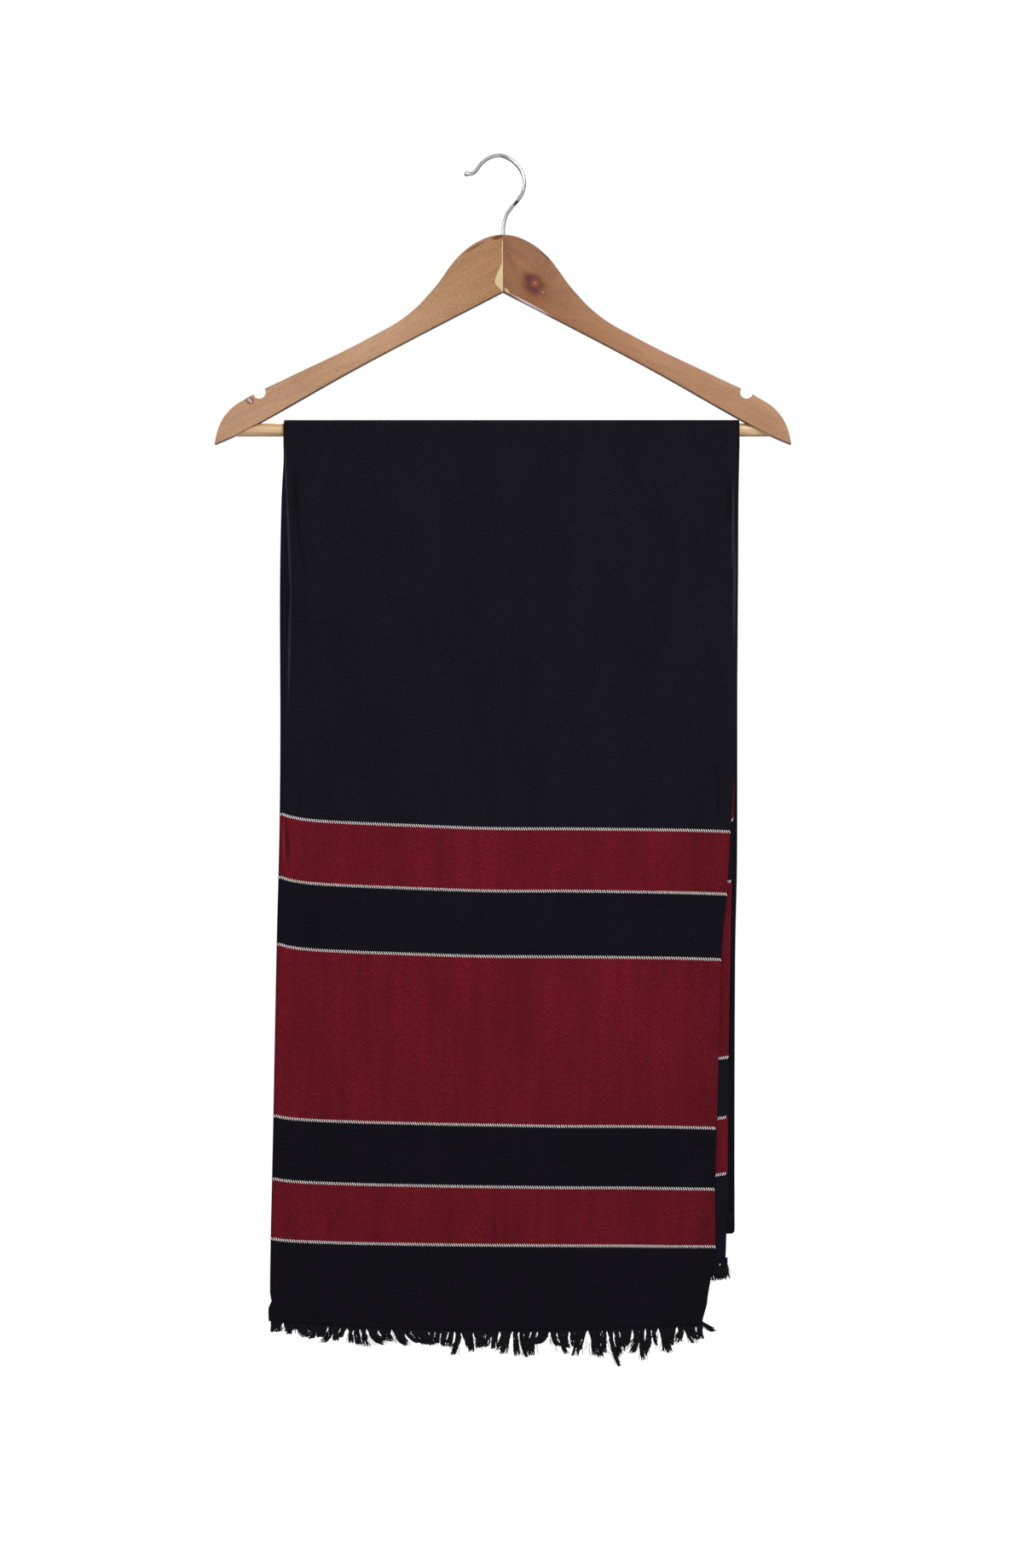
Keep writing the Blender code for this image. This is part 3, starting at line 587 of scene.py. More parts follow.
def fold_points(x, angle, rise, depth):
    radius = BACK_FOLD_RADIUS - depth
    middle_y = OUTER_RADIUS - BACK_FOLD_RADIUS
    middle_z = BACK_FOLD_Z + WALL / 2 + BACK_FOLD_RADIUS
    z = middle_z - radius * np.sin(angle) + rise
    return np.stack(np.broadcast_arrays(x, middle_y + radius * np.cos(angle) + relief(x, z, "back"), z), -1)


def front_roll(z):
    opened = smooth_step((BAR_Z - z - ROLL_SETTLES) / (ROLL_OPENS - ROLL_SETTLES))
    return blend(ROLL_ON_BAR, ROLL_FREE, opened)


def back_roll(z):
    closed = smooth_step((BACK_FOLD_Z + 2 * BACK_FOLD_NEAR - z) / BACK_FOLD_NEAR)
    return blend(front_roll(z), ROLL_IN_FOLD, closed)


def pull(across):
    near = PULL_NEAR * np.exp(-across / PULL_NEAR_REACH)
    wide = PULL_WIDE * (1 - across) ** PULL_WIDE_POWER
    rest = (1 - PULL_NEAR - PULL_WIDE) * (1 - across) ** PULL_REST_POWER
    return near + wide + rest


def outer_z(row, across):
    across = np.clip(across, 0.0, 1.0)
    level = row.z_right + (row.z_left - row.z_right) * pull(across)
    stray = LINE_WAVER * waver(across * PLY_WIDTH, level, "lines", LINE_WAVER_ACROSS, LINE_WAVER_DOWN)
    return level - row.sag * 4 * across * (1 - across) + stray * smooth_step((BAR_Z - level) / LINE_FADE)


def under_z(row, across):
    return blend(row.z_left, row.z_right, across)


def column_shares(width):
    """Shares across the flat of a ply, closer together beside its edges."""
    inner = np.linspace(0, 1, round(width / COLUMN_STEP) + 1)
    edge = np.array(EDGE_COLUMNS) / width
    return np.unique(np.concatenate([inner, edge, 1 - edge]))


SHARES = column_shares(PLY_WIDTH)


def outer_section(x_left, x_right, roll):
    """x, depth and share across of the outer ply, from its flap round the left roll to its right edge."""
    centre = x_left + WALL / 2 + roll
    flap_x = np.linspace(centre + FLAP, centre, FLAP_COLUMNS + 1)[:-1]
    angles = np.linspace(math.pi, 0, ROLL_STEPS + 1)
    x = np.concatenate([flap_x, centre - roll * np.sin(angles), centre + (x_right - centre) * SHARES[1:]])
    flap_depth = np.full(FLAP_COLUMNS, 2 * roll)
    depth = np.concatenate([flap_depth, roll * (1 - np.cos(angles)), np.zeros(len(SHARES) - 1)])
    share = np.concatenate([np.zeros(FLAP_COLUMNS + ROLL_STEPS + 1), SHARES[1:]])
    return x, depth, share


def lengths_along(points):
    return np.concatenate([[0.0], np.cumsum(np.linalg.norm(np.diff(points, axis=0), axis=1))])


# Meshes


def put(name, data):
    item = bpy.data.objects.new(name, data)
    bpy.context.scene.collection.objects.link(item)
    return item


def mesh_object(name, points, faces, surface, uvs):
    mesh = bpy.data.meshes.new(name)
    mesh.from_pydata(np.asarray(points).tolist(), [], faces)
    layer = mesh.uv_layers.new(name="Cloth")
    corners = np.array([loop.vertex_index for loop in mesh.loops])
    layer.data.foreach_set("uv", np.asarray(uvs, np.float32)[corners].ravel())
    mesh.shade_smooth()
    mesh.materials.append(surface)
    return put(name, mesh)


def evaluated_mesh(item):
    bpy.context.view_layer.update()
    graph = bpy.context.evaluated_depsgraph_get()
    return bpy.data.meshes.new_from_object(item.evaluated_get(graph))


def turn_outward(mesh, weld=None):
    """Faces the mesh outward, and welds points that lie closer together than weld."""
    shape = bmesh.new()
    shape.from_mesh(mesh)
    if weld:
        bmesh.ops.remove_doubles(shape, verts=shape.verts, dist=weld)
    bmesh.ops.recalc_face_normals(shape, faces=shape.faces)
    shape.to_mesh(mesh)
    shape.free()


def sheet_object(name, grid, u, v, surface):
    """A ply: a grid of points as an open surface, given its wall by Solidify."""
    rows, columns = grid.shape[:2]
    corner = (np.arange(rows - 1)[:, None] * columns + np.arange(columns - 1)).ravel()
    faces = np.stack([corner, corner + 1, corner + columns + 1, corner + columns], 1).tolist()
    uvs = np.stack([np.broadcast_to(u, (rows, columns)), np.broadcast_to(v, (rows, columns))], -1)
    item = mesh_object(name, grid.reshape(-1, 3), faces, surface, uvs.reshape(-1, 2))
    solidify = item.modifiers.new("Wall", "SOLIDIFY")
    solidify.thickness = WALL
    solidify.offset = 0.0
    solidify.use_even_offset = True
    solidify.use_quality_normals = True
    return item


def apply_modifiers(item):
    mesh = evaluated_mesh(item)
    item.modifiers.clear()
    item.data = mesh


def smooth_to(item, degrees):
    item.data.shade_smooth()
    item.data.set_sharp_from_angle(angle=math.radians(degrees))


def ring_faces(start, rings, count):
    """Faces between rings of count points each, from the point start on, and one over either end."""
    faces = []
    for ring in range(start, start + (rings - 1) * count, count):
        for index in range(count):
            a = ring + index
            b = ring + (index + 1) % count
            faces.append((a, b, b + count, a + count))
    last = start + (rings - 1) * count
    faces.append(tuple(range(start + count - 1, start - 1, -1)))
    faces.append(tuple(range(last, last + count)))
    return faces


RUNS_BACK = 0.8  # a tube that turns more than this towards the back is built on another axis


class Tubes:
    """Many thin tubes gathered into one mesh."""

    def __init__(self, sides):
        self.sides = sides
        self.points = []
        self.faces = []
        self.uvs = []

    def add(self, line, radii, along=0.0):
        line = np.asarray(line, float)
        tangent = np.gradient(line, axis=0)
        tangent /= np.linalg.norm(tangent, axis=1)[:, None]
        runs_back = np.abs(tangent[:, 1:2]) > RUNS_BACK
        first = np.cross(tangent, np.where(runs_back, [[1.0, 0, 0]], [[0, 1.0, 0]]))
        first /= np.linalg.norm(first, axis=1)[:, None]
        second = np.cross(tangent, first)
        start = len(self.points)
        for ring, centre in enumerate(line):
            for side in range(self.sides):
                angle = 2 * math.pi * side / self.sides
                out = math.cos(angle) * first[ring] + math.sin(angle) * second[ring]
                self.points.append(centre + radii[ring] * out)
                self.uvs.append((side / self.sides, along + ring / len(line)))
        self.faces += ring_faces(start, len(line), self.sides)

    def to_object(self, name, surface):
        return mesh_object(name, self.points, self.faces, surface, self.uvs)


# Materials


class Graph:
    """A node tree under construction."""

    def __init__(self, tree):
        self.tree = tree

    def plug(self, value, socket):
        if isinstance(value, bpy.types.NodeSocket):
            self.tree.links.new(value, socket)
        elif value is not None:
            socket.default_value = value

    def node(self, kind, *values, **settings):
        """A new node, with its settings and its first inputs."""
        made = self.tree.nodes.new("ShaderNode" + kind)
        for name, setting in settings.items():
            setattr(made, name, setting)
        for value, socket in zip(values, made.inputs):
            self.plug(value, socket)
        return made

    def math(self, operation, a, b=None, c=None):
        return self.node("Math", a, b, c, operation=operation).outputs[0]

    def times(self, a, b):
        return self.math("MULTIPLY", a, b)

    def plus(self, a, by, b):
        """b, with by times a added."""
        return self.math("MULTIPLY_ADD", a, by, b)

    def wave(self, value):
        return self.plus(self.math("SINE", value), 0.5, 0.5)

    def spread(self, value, low, high, new_low=0.0, new_high=1.0):
        made = self.node("MapRange", value, low, high, new_low, new_high, interpolation_type="SMOOTHSTEP")
        return made.outputs[0]

    def mix(self, share, a, b, blend_type="MIX"):
        made = self.node("Mix", share, data_type="RGBA", blend_type=blend_type)
        for colour, socket in zip((a, b), made.inputs[6:8]):
            self.plug((*colour, 1.0) if isinstance(colour, tuple) else colour, socket)
        return made.outputs[2]

    def tinted(self, colour, tints):
        """The colour, with each tint laid on where its field goes from low to high."""
        for field, low, high, share, tint in tints:
            colour = self.mix(self.spread(field, low, high, 0.0, share), colour, tint)
        return colour

    def toned(self, colour, red, green, blue):
        return self.mix(1.0, colour, self.vector(red, green, blue), "MULTIPLY")

    def vector(self, x, y, z):
        return self.node("CombineXYZ", x, y, z).outputs[0]

    def parts(self, vector):
        return self.node("SeparateXYZ", vector).outputs

    def place(self):
        return self.node("TexCoord").outputs["Object"]

    def normal(self):
        return self.node("NewGeometry").outputs["Normal"]

    def uv(self):
        return self.node("UVMap", uv_map="Cloth").outputs[0]

    def noise(self, vector, scale, detail=3.0, roughness=0.5, distortion=0.0):
        made = self.node("TexNoise", vector)
        settings = {"Scale": scale, "Detail": detail, "Roughness": roughness, "Distortion": distortion}
        for name, value in settings.items():
            made.inputs[name].default_value = value
        return made.outputs[0]

    def ellipse(self, x, z, middle, length, width, tilt):
        """How far out a place is from an ellipse's middle, where 1 is its edge."""
        turn = (0.0, 0.0, tilt)
        values = (self.vector(x, z, 0.0), (*middle, 0.0), turn, (length, width, 1.0))
        placed = self.node("Mapping", *values, vector_type="TEXTURE")
        return self.node("VectorMath", placed.outputs[0], operation="LENGTH").outputs["Value"]

    def mark(self, x, z, mark):
        return self.ellipse(x, z, (mark.x, mark.z), mark.length, mark.width, math.radians(mark.tilt))

    def crease(self, x, z, crease):
        tilt = math.pi / 2 - math.atan(crease.lean)
        return self.ellipse(x, z, (crease.x, crease.z), crease.half_length, crease.half_width, tilt)


class Surface(Graph):
    """A node material under construction."""

    def __init__(self, name):
        self.material = bpy.data.materials.new(name)
        self.material.use_nodes = True
        super().__init__(self.material.node_tree)
        self.shader = self.tree.nodes["Principled BSDF"]

    def bump(self, height, strength, distance):
        made = self.node("Bump")
        made.inputs["Strength"].default_value = strength
        made.inputs["Distance"].default_value = distance
        self.plug(height, made.inputs["Height"])
        self.plug(made.outputs[0], self.shader.inputs["Normal"])

    def finish(self, colour, roughness, **fixed):
        self.plug(colour, self.shader.inputs["Base Color"])
        self.plug(roughness, self.shader.inputs["Roughness"])
        for name, value in fixed.items():
            self.shader.inputs[name.replace("_", " ")].default_value = value
        return self.material


PLAIN_V = 1.4  # a place along the cloth that is well past the last stripe
CREASE_PAINT_SHARE = 0.80
RIGHT_SHADE = (0.128, 0.158, 1.0, 0.84)  # the red's tone falls off towards the right edge
TOP_SHADE = (-0.240, -0.206, 1.0, 0.84)  # painted shade: the black darkens over the bar
RIB_WOBBLE = 1.3
GREEN_FALL = 1.3  # how much faster green falls than red and blue where the black darkens
TWILL_BUMP = (0.5, 0.00030)
YARN_BUMP = (0.5, 0.0002)
YARN_TURNS = 60.0
# Painted shade: the black and the red darken from the last thread down to the hem, where the light falls
# off
HemShade = namedtuple("HemShade", "at_hem at_last_thread")
OUTER_HEM_SHADES = (HemShade(0.56, 0.74), HemShade(0.90, 0.975))  # the tone of the black, then of the red
UNDER_HEM_SHADES = (HemShade(0.98, 1.0), HemShade(1.0, 1.0))


def cloth_material(name, hand, edges, black_hem_shade, red_hem_shade, creases):
    """Wool twill with bands between its edges. hand is 1 where its ribs fall to the right, or else -1."""
    g = Surface(name)
    u, v, _ = g.parts(g.uv())
    x, y, z = g.parts(g.place())
    turn = 2 * math.pi

    def drawn_out(by, scale, detail, roughness):
        return g.noise(g.vector(u, g.times(v, by), 0.0), scale, detail, roughness)

    wobble = g.noise(g.uv(), 160.0, 2.0)
    ribs = g.plus(v, hand * turn / TWILL_DOWN, g.times(u, turn / TWILL_ACROSS))
    rib = g.wave(g.plus(wobble, RIB_WOBBLE, ribs))
    warp = g.math("SINE", g.times(u, 4 * turn / TWILL_ACROSS))
    weft = g.math("SINE", g.times(v, 4 * turn / TWILL_DOWN))
    yarn = g.plus(g.times(warp, weft), 0.5, 0.5)
    fibre = g.noise(g.uv(), 2600.0, 2.0, 0.7)
    heather = drawn_out(0.6, 940.0, 2.0, 0.65)
    streak = drawn_out(0.035, 120.0, 4.0, 0.6)
    cloud = drawn_out(0.30, 34.0, 5.0, 0.65)
    blotch = g.noise(g.uv(), 320.0, 3.0, 0.6)

    in_red = 0.0
    for index, edge in enumerate(edges):
        in_red = g.plus(g.math("GREATER_THAN", v, edge), 1 - 2 * (index % 2), in_red)

    black = g.mix(g.times(rib, fibre), BLACK_DEEP, BLACK_LIGHT)
    black = g.tinted(
        black,
        (
            (heather, 0.56, 0.72, 0.80, BLACK_HEATHER),
            (cloud, 0.36, 0.66, 0.55, BLACK_DEEP),
        ),
    )
    # Painted shade: the black darkens from the last thread down to the hem, and over the bar
    past_bands = g.math("GREATER_THAN", v, edges[-1])
    tone = g.math("MAXIMUM", past_bands, g.spread(v, 0.0, edges[-1], *black_hem_shade))
    tone = g.times(tone, g.spread(z, *TOP_SHADE))
    black = g.toned(black, tone, g.math("POWER", tone, GREEN_FALL), tone)
    red = g.mix(g.plus(rib, 0.5, g.times(fibre, 0.5)), RED_DEEP, RED_LIGHT)
    red = g.tinted(
        red,
        (
            (heather, 0.53, 0.69, 0.78, RED_DARK_HEATHER),
            (heather, 0.46, 0.30, 0.62, RED_BRIGHT_HEATHER),
            (blotch, 0.42, 0.66, 0.45, RED_DEEP),
            (streak, 0.40, 0.68, 0.34, RED_DEEP),
            (cloud, 0.36, 0.66, 0.46, RED_DEEP),
        ),
    )
    # Painted shade: the red darkens from the last thread down to the hem; it is also darker towards the
    # right edge
    tone = g.times(g.spread(v, 0.0, edges[-1], *red_hem_shade), g.spread(x, *RIGHT_SHADE))
    red = g.toned(red, tone, tone, tone)
    on_front = g.math("LESS_THAN", y, 0.0)
    # Painted shade along each crease that sinks, and painted highlight along each that rises, on the front
    # only
    for crease in creases:
        share = g.times(on_front, g.spread(g.crease(x, z, crease), 1.0, 0.25, 0.0, CREASE_PAINT_SHARE))
        black = g.mix(share, black, BLACK_SHADED if crease.depth > 0 else BLACK_PAINTED_HIGHLIGHT)
        red = g.mix(share, red, RED_SHADED if crease.depth > 0 else RED_PAINTED_HIGHLIGHT)

    g.bump(g.plus(fibre, 0.35, g.plus(rib, 0.6, g.times(yarn, 0.25))), *TWILL_BUMP)
    return g.finish(
        g.mix(in_red, black, red),
        g.spread(fibre, 0.3, 0.7, 0.70, 0.90),
        Specular_IOR_Level=0.10,
        Sheen_Weight=0.02,
        Sheen_Roughness=0.45,
    )


def yarn_material(name, dark, light, sheen):
    """Spun wool, with its plies turning along each yarn."""
    g = Surface(name)
    u, v, _ = g.parts(g.uv())
    ply = g.wave(g.plus(v, YARN_TURNS, g.times(u, 2 * math.pi)))
    fibre = g.noise(g.place(), 2400.0, 2.0, 0.7)
    g.bump(g.math("ADD", ply, fibre), *YARN_BUMP)
    return g.finish(
        g.mix(g.plus(ply, 0.5, g.times(fibre, 0.5)), dark, light),
        g.spread(fibre, 0.3, 0.7, 0.8, 0.95),
        Specular_IOR_Level=0.12,
        Sheen_Weight=sheen,
        Sheen_Roughness=0.5,
    )


Mark = namedtuple("Mark", "x z length width tilt core strength colour")
LEFT_MARKS = table(
    Mark,
    (-0.0040, -0.0622, 0.0060, 0.0019, 16, 0.35, 0.88, (0.070, 0.016, 0.008)),
    (-0.0225, -0.0702, 0.0120, 0.0014, 30, 0.25, 0.75, (0.130, 0.034, 0.016)),
    (-0.1952, -0.1880, 0.0040, 0.0031, -38, 0.75, 0.75, (0.150, 0.055, 0.038)),
    (-0.1955, -0.1876, 0.0024, 0.0017, -38, 0.30, 0.75, (0.560, 0.430, 0.360)),
    (-0.1941, -0.1893, 0.0010, 0.0007, -30, 0.30, 0.90, (0.780, 0.700, 0.640)),
    (-0.0090, -0.0800, 0.0100, 0.0042, 40, 0.10, 0.25, (0.300, 0.110, 0.060)),
)
RIGHT_MARKS = table(
    Mark,
    (0.0258, -0.0995, 0.0195, 0.0150, -48, 0.10, 0.84, (0.215, 0.060, 0.015)),
    (0.0236, -0.0978, 0.0118, 0.0094, -52, 0.45, 0.94, (0.098, 0.013, 0.002)),
    (0.0203, -0.0943, 0.0042, 0.0030, -20, 0.30, 0.80, (0.055, 0.013, 0.005)),
    (0.0242, -0.1030, 0.0056, 0.0022, -30, 0.30, 0.85, (0.070, 0.014, 0.005)),
    (0.0249, -0.0978, 0.0046, 0.0041, -45, 0.50, 0.80, (0.190, 0.036, 0.009)),
    (0.0246, -0.0978, 0.0018, 0.0015, 20, 0.60, 0.36, (0.400, 0.150, 0.080)),
    # painted highlight: a pale glint in the knot's heart
    (0.0248, -0.0970, 0.0009, 0.0004, 30, 0.20, 0.60, (0.560, 0.360, 0.290)),
    (0.0301, -0.1054, 0.0044, 0.0030, -52, 0.35, 0.75, (0.150, 0.048, 0.028)),
    # painted highlight: a pale glint on the second knot
    (0.0310, -0.1048, 0.0014, 0.0008, -60, 0.20, 0.60, (0.560, 0.390, 0.340)),
    (0.0288, -0.1100, 0.0065, 0.0016, -78, 0.20, 0.45, (0.300, 0.095, 0.050)),
    (0.0322, -0.0762, 0.0060, 0.0019, -40, 0.20, 0.85, (0.120, 0.030, 0.016)),
    (0.0348, -0.0782, 0.0026, 0.0018, -45, 0.40, 0.92, (0.035, 0.009, 0.006)),
    # painted highlight: a pale line along the arm's underside, near the joint
    (0.0222, -0.1150, 0.0225, 0.0010, -29, 0.30, 0.80, (0.760, 0.660, 0.670)),
    (0.0030, -0.1035, 0.0034, 0.0014, -45, 0.30, 0.70, (0.620, 0.480, 0.330)),
    (0.0428, -0.0845, 0.0080, 0.0058, -35, 0.10, 0.40, (0.480, 0.165, 0.090)),
    (0.0411, -0.0852, 0.0008, 0.0008, 0, 0.40, 0.90, (0.800, 0.700, 0.640)),
    (0.0075, -0.0725, 0.0120, 0.0018, -28, 0.10, 0.55, (0.150, 0.055, 0.026)),
    (0.0180, -0.0850, 0.0150, 0.0030, -35, 0.10, 0.35, (0.330, 0.150, 0.060)),
    (0.0450, -0.1140, 0.0160, 0.0036, -40, 0.10, 0.30, (0.200, 0.080, 0.036)),
    (0.2040, -0.2040, 0.0240, 0.0110, -35, 0.10, 0.22, (0.230, 0.090, 0.040)),
)
Age = namedtuple("Age", "joint_tone reach")  # how dark the wood is at the joint, and how far out that fades
Wood = namedtuple("Wood", "name side pale dark flecked age marks glued")
LEFT_BEECH = Wood(
    "Beech", -1, (0.470, 0.275, 0.160), (0.369, 0.197, 0.108), 1.0, Age(0.68, 0.165), LEFT_MARKS, True
)
RIGHT_BEECH = Wood(
    "Red beech", 1, (0.400, 0.207, 0.109), (0.314, 0.146, 0.072), 0.15, Age(0.57, 0.225), RIGHT_MARKS, False
)
ARM_SLOPE = math.radians(28)
GRAIN_WARP = 0.006
RINGS_ACROSS = 75.0
AGED_GREEN = 1.42  # how much faster green and blue fall than red where the wood is aged
AGED_BLUE = 2.15
# Painted light: a glint colour, a sheen for the rounded edges and a highlight for the undersides
PAINTED_GLINT = (0.640, 0.410, 0.210)
EDGE_PAINTED_SHEEN = (0.46, 0.31, 0.23)
UNDERSIDE_PAINTED_HIGHLIGHT = (0.86, 0.74, 0.68)
GLUE = (0.560, 0.440, 0.250)
GLUE_RAGGED = 0.0022
GLUE_WIDE = (-0.0800, -0.0960, 0.0008, 0.0060)  # where the pale glue line widens, and from what to what
GLUE_NARROWS = (-0.1036, -0.0975, 0.25, 1.0)
GLUE_TOP = (-0.0640, -0.0665)
GLUE_FOOT = (-0.1052, -0.1035)
WOOD_BUMP = (0.30, 0.00025)
DOWEL_PALE = (0.70, 0.480, 0.275)
DOWEL_DARK = (0.53, 0.320, 0.155)
DOWEL_PORES = (0.30, 0.165, 0.080)
DOWEL_BUMP = (0.25, 0.0002)


def shaded(colour, tone):
    return tuple(channel * tone for channel in colour)


def wood_material(wood):
    """Oiled wood whose grain runs down the arm, with knots and specks at their places. Painted glints fleck
    it near the joint and on its knots, painted sheen lines its rounded edges, and painted highlights lie
    along its undersides.
    """
    g = Surface(wood.name)
    x, y, z = g.parts(g.place())
    cos = math.cos(ARM_SLOPE)
    sin = math.sin(ARM_SLOPE)
    along = g.plus(x, wood.side * cos, g.times(z, -sin))
    up = g.plus(x, wood.side * sin, g.times(z, cos))
    warp = g.noise(g.vector(g.times(along, 0.35), 0.0, up), 55.0, 2.0)
    up = g.plus(warp, GRAIN_WARP, up)
    for mark in wood.marks[:2]:
        up = g.math("ADD", up, g.spread(g.mark(x, z, mark), 2.4, 0.6, 0.0, mark.width * 0.8))

    def grain(by, across, scale, detail, roughness):
        return g.noise(g.vector(g.times(along, by), across, up), scale, detail, roughness)

    broad = grain(0.10, g.times(y, 0.7), 150.0, 4.0, 0.55)
    fine = grain(0.05, y, 1400.0, 3.0, 0.6)
    pores = grain(0.22, y, 2300.0, 1.5, 0.5)
    glints = grain(0.40, y, 1700.0, 2.0, 0.6)
    rings = g.math("FRACT", g.plus(broad, 6.0, g.times(up, RINGS_ACROSS)))
    rings = g.spread(g.math("ABSOLUTE", g.math("SUBTRACT", rings, 0.5)), 0.5, 0.30)
    cloud = g.noise(g.vector(x, y, z), 26.0, 2.0, 0.5)

    colour = g.mix(g.spread(broad, 0.30, 0.70), wood.pale, wood.dark)
    colour = g.mix(g.spread(cloud, 0.35, 0.70, 0.0, 0.5), colour, shaded(wood.pale, 0.86))
    colour = g.mix(g.times(rings, 0.14), colour, shaded(wood.pale, 1.30))
    tints = (
        (fine, 0.50, 0.78, 0.38, shaded(wood.dark, 0.60)),
        (pores, 0.58, 0.70, 0.50 + 0.40 * wood.flecked, shaded(wood.dark, 0.50)),
    )
    colour = g.tinted(colour, tints)
    # Painted glints: pale specks near the joint stand in for highlights
    near_joint = g.spread(along, 0.150, 0.050, 0.15, 1.0)
    bright = g.spread(glints, 0.54, 0.65, 0.0, 0.15 + 0.80 * wood.flecked)
    colour = g.mix(g.times(bright, near_joint), colour, PAINTED_GLINT)
    aged = g.spread(along, 0.020, wood.age.reach, wood.age.joint_tone, 1.0)
    colour = g.toned(colour, aged, g.math("POWER", aged, AGED_GREEN), g.math("POWER", aged, AGED_BLUE))
    _, level, upward = g.parts(g.normal())
    level = g.math("ABSOLUTE", level)
    # Painted sheen: a greyer tone on the rounded edges, where they turn away from the front and back
    colour = g.mix(g.spread(level, 0.93, 0.45, 0.0, 0.30), colour, EDGE_PAINTED_SHEEN)
    # Painted highlight on the bevels that face down, where the underside catches light from below
    under_edge = g.times(g.spread(level, 0.97, 0.85), g.spread(level, 0.15, 0.45))
    colour = g.mix(g.times(under_edge, g.spread(upward, -0.20, -0.45, 0.0, 0.75)), colour, UNDERSIDE_PAINTED_HIGHLIGHT)
    # The marks: knots, stains and specks, and a few painted highlights
    for mark in wood.marks:
        away = g.plus(g.math("SUBTRACT", broad, 0.5), 0.9, g.mark(x, z, mark))
        away = g.plus(g.math("SUBTRACT", pores, 0.5), 0.5, away)
        colour = g.mix(g.spread(away, 1.05, mark.core, 0.0, mark.strength), colour, mark.colour)
    if wood.glued:
        wide = g.times(g.spread(z, *GLUE_WIDE), g.spread(z, *GLUE_NARROWS))
        ragged = g.plus(g.math("SUBTRACT", pores, 0.5), GLUE_RAGGED, g.math("ABSOLUTE", x))
        patch = g.math("LESS_THAN", ragged, wide)
        patch = g.times(g.times(patch, g.spread(z, *GLUE_TOP)), g.spread(z, *GLUE_FOOT))
        colour = g.mix(patch, colour, GLUE)
    g.bump(g.plus(fine, 0.5, g.times(pores, 0.6)), *WOOD_BUMP)
    roughness = g.spread(fine, 0.3, 0.7, 0.42, 0.60)
    return g.finish(colour, roughness, Specular_IOR_Level=0.35, Coat_Weight=0.10, Coat_Roughness=0.30)


def dowel_material():
    g = Surface("Pale dowel")
    x, y, z = g.parts(g.place())
    grain = g.noise(g.vector(g.times(x, 0.05), y, z), 420.0, 4.0, 0.6, 0.3)
    fine = g.noise(g.vector(g.times(x, 0.06), y, z), 2200.0, 2.0, 0.6)
    colour = g.mix(g.spread(grain, 0.35, 0.68), DOWEL_PALE, DOWEL_DARK)
    colour = g.mix(g.spread(fine, 0.55, 0.75, 0.0, 0.5), colour, DOWEL_PORES)
    g.bump(fine, *DOWEL_BUMP)
    roughness = g.spread(fine, 0.3, 0.7, 0.42, 0.6)
    return g.finish(colour, roughness, Specular_IOR_Level=0.35, Coat_Weight=0.08, Coat_Roughness=0.35)


# Spots on the wire: a painted dark reflection on its neck, then a darker bluish spot on top
WIRE_SPOTS = table(
    Mark,
    (0.0103, -0.0352, 0.0032, 0.0020, 52, 0.50, 0.92, (0.035, 0.035, 0.040)),
    (0.0012, 0.0000, 0.0052, 0.0030, -12, 0.50, 0.55, (0.210, 0.205, 0.330)),
)
CHROME_BRIGHT = (0.95, 0.95, 0.97)
CHROME_DULL = (0.62, 0.62, 0.67)
CHROME_BUMP = (0.10, 0.0001)


def chrome_material():
    """Bright plated wire, with painted dark reflections along its flanks, a painted dark reflection on its
    neck and a darker bluish spot on top.
    """
    g = Surface("Plated wire")
    x, y, z = g.parts(g.place())
    drawn = g.noise(g.vector(g.times(x, 0.6), y, g.times(z, 0.3)), 900.0, 3.0, 0.6)
    dull = g.noise(g.place(), 260.0, 2.0, 0.5)
    colour = g.mix(g.spread(dull, 0.45, 0.70, 0.0, 0.6), CHROME_BRIGHT, CHROME_DULL)
    for spot in WIRE_SPOTS:
        away = g.plus(g.math("SUBTRACT", drawn, 0.5), 0.8, g.mark(x, z, spot))
        colour = g.mix(g.spread(away, 1.0, spot.core, 0.0, spot.strength), colour, spot.colour)
    # Painted reflection: the wire darkens along its flanks, most on its left side
    aside, level, _ = g.parts(g.normal())
    painted_flank_reflection = g.spread(g.math("ABSOLUTE", level), 0.50, 0.86, 0.10, 1.0)
    painted_flank_reflection = g.times(painted_flank_reflection, g.spread(aside, -0.70, -0.15, 0.40, 1.0))
    g.bump(drawn, *CHROME_BUMP)
    colour = g.toned(colour, painted_flank_reflection, painted_flank_reflection, painted_flank_reflection)
    return g.finish(colour, g.spread(dull, 0.35, 0.7, 0.16, 0.28), Metallic=1.0)


# Cloth pieces


def ply(name, grid, reference, rows, places, threads, surface_of):
    """A ply from its grid, measured down its middle and along a row, with bands between its thread rows."""
    grid = np.array(grid)
    v = lengths_along(grid[:, grid.shape[1] // 2])[:, None]
    u = lengths_along(grid[reference])[None, :]
    edges = sorted(v[len(rows) - 1 - places[index], 0] for index in threads)
    return sheet_object(name, grid, u, v, surface_of(edges))


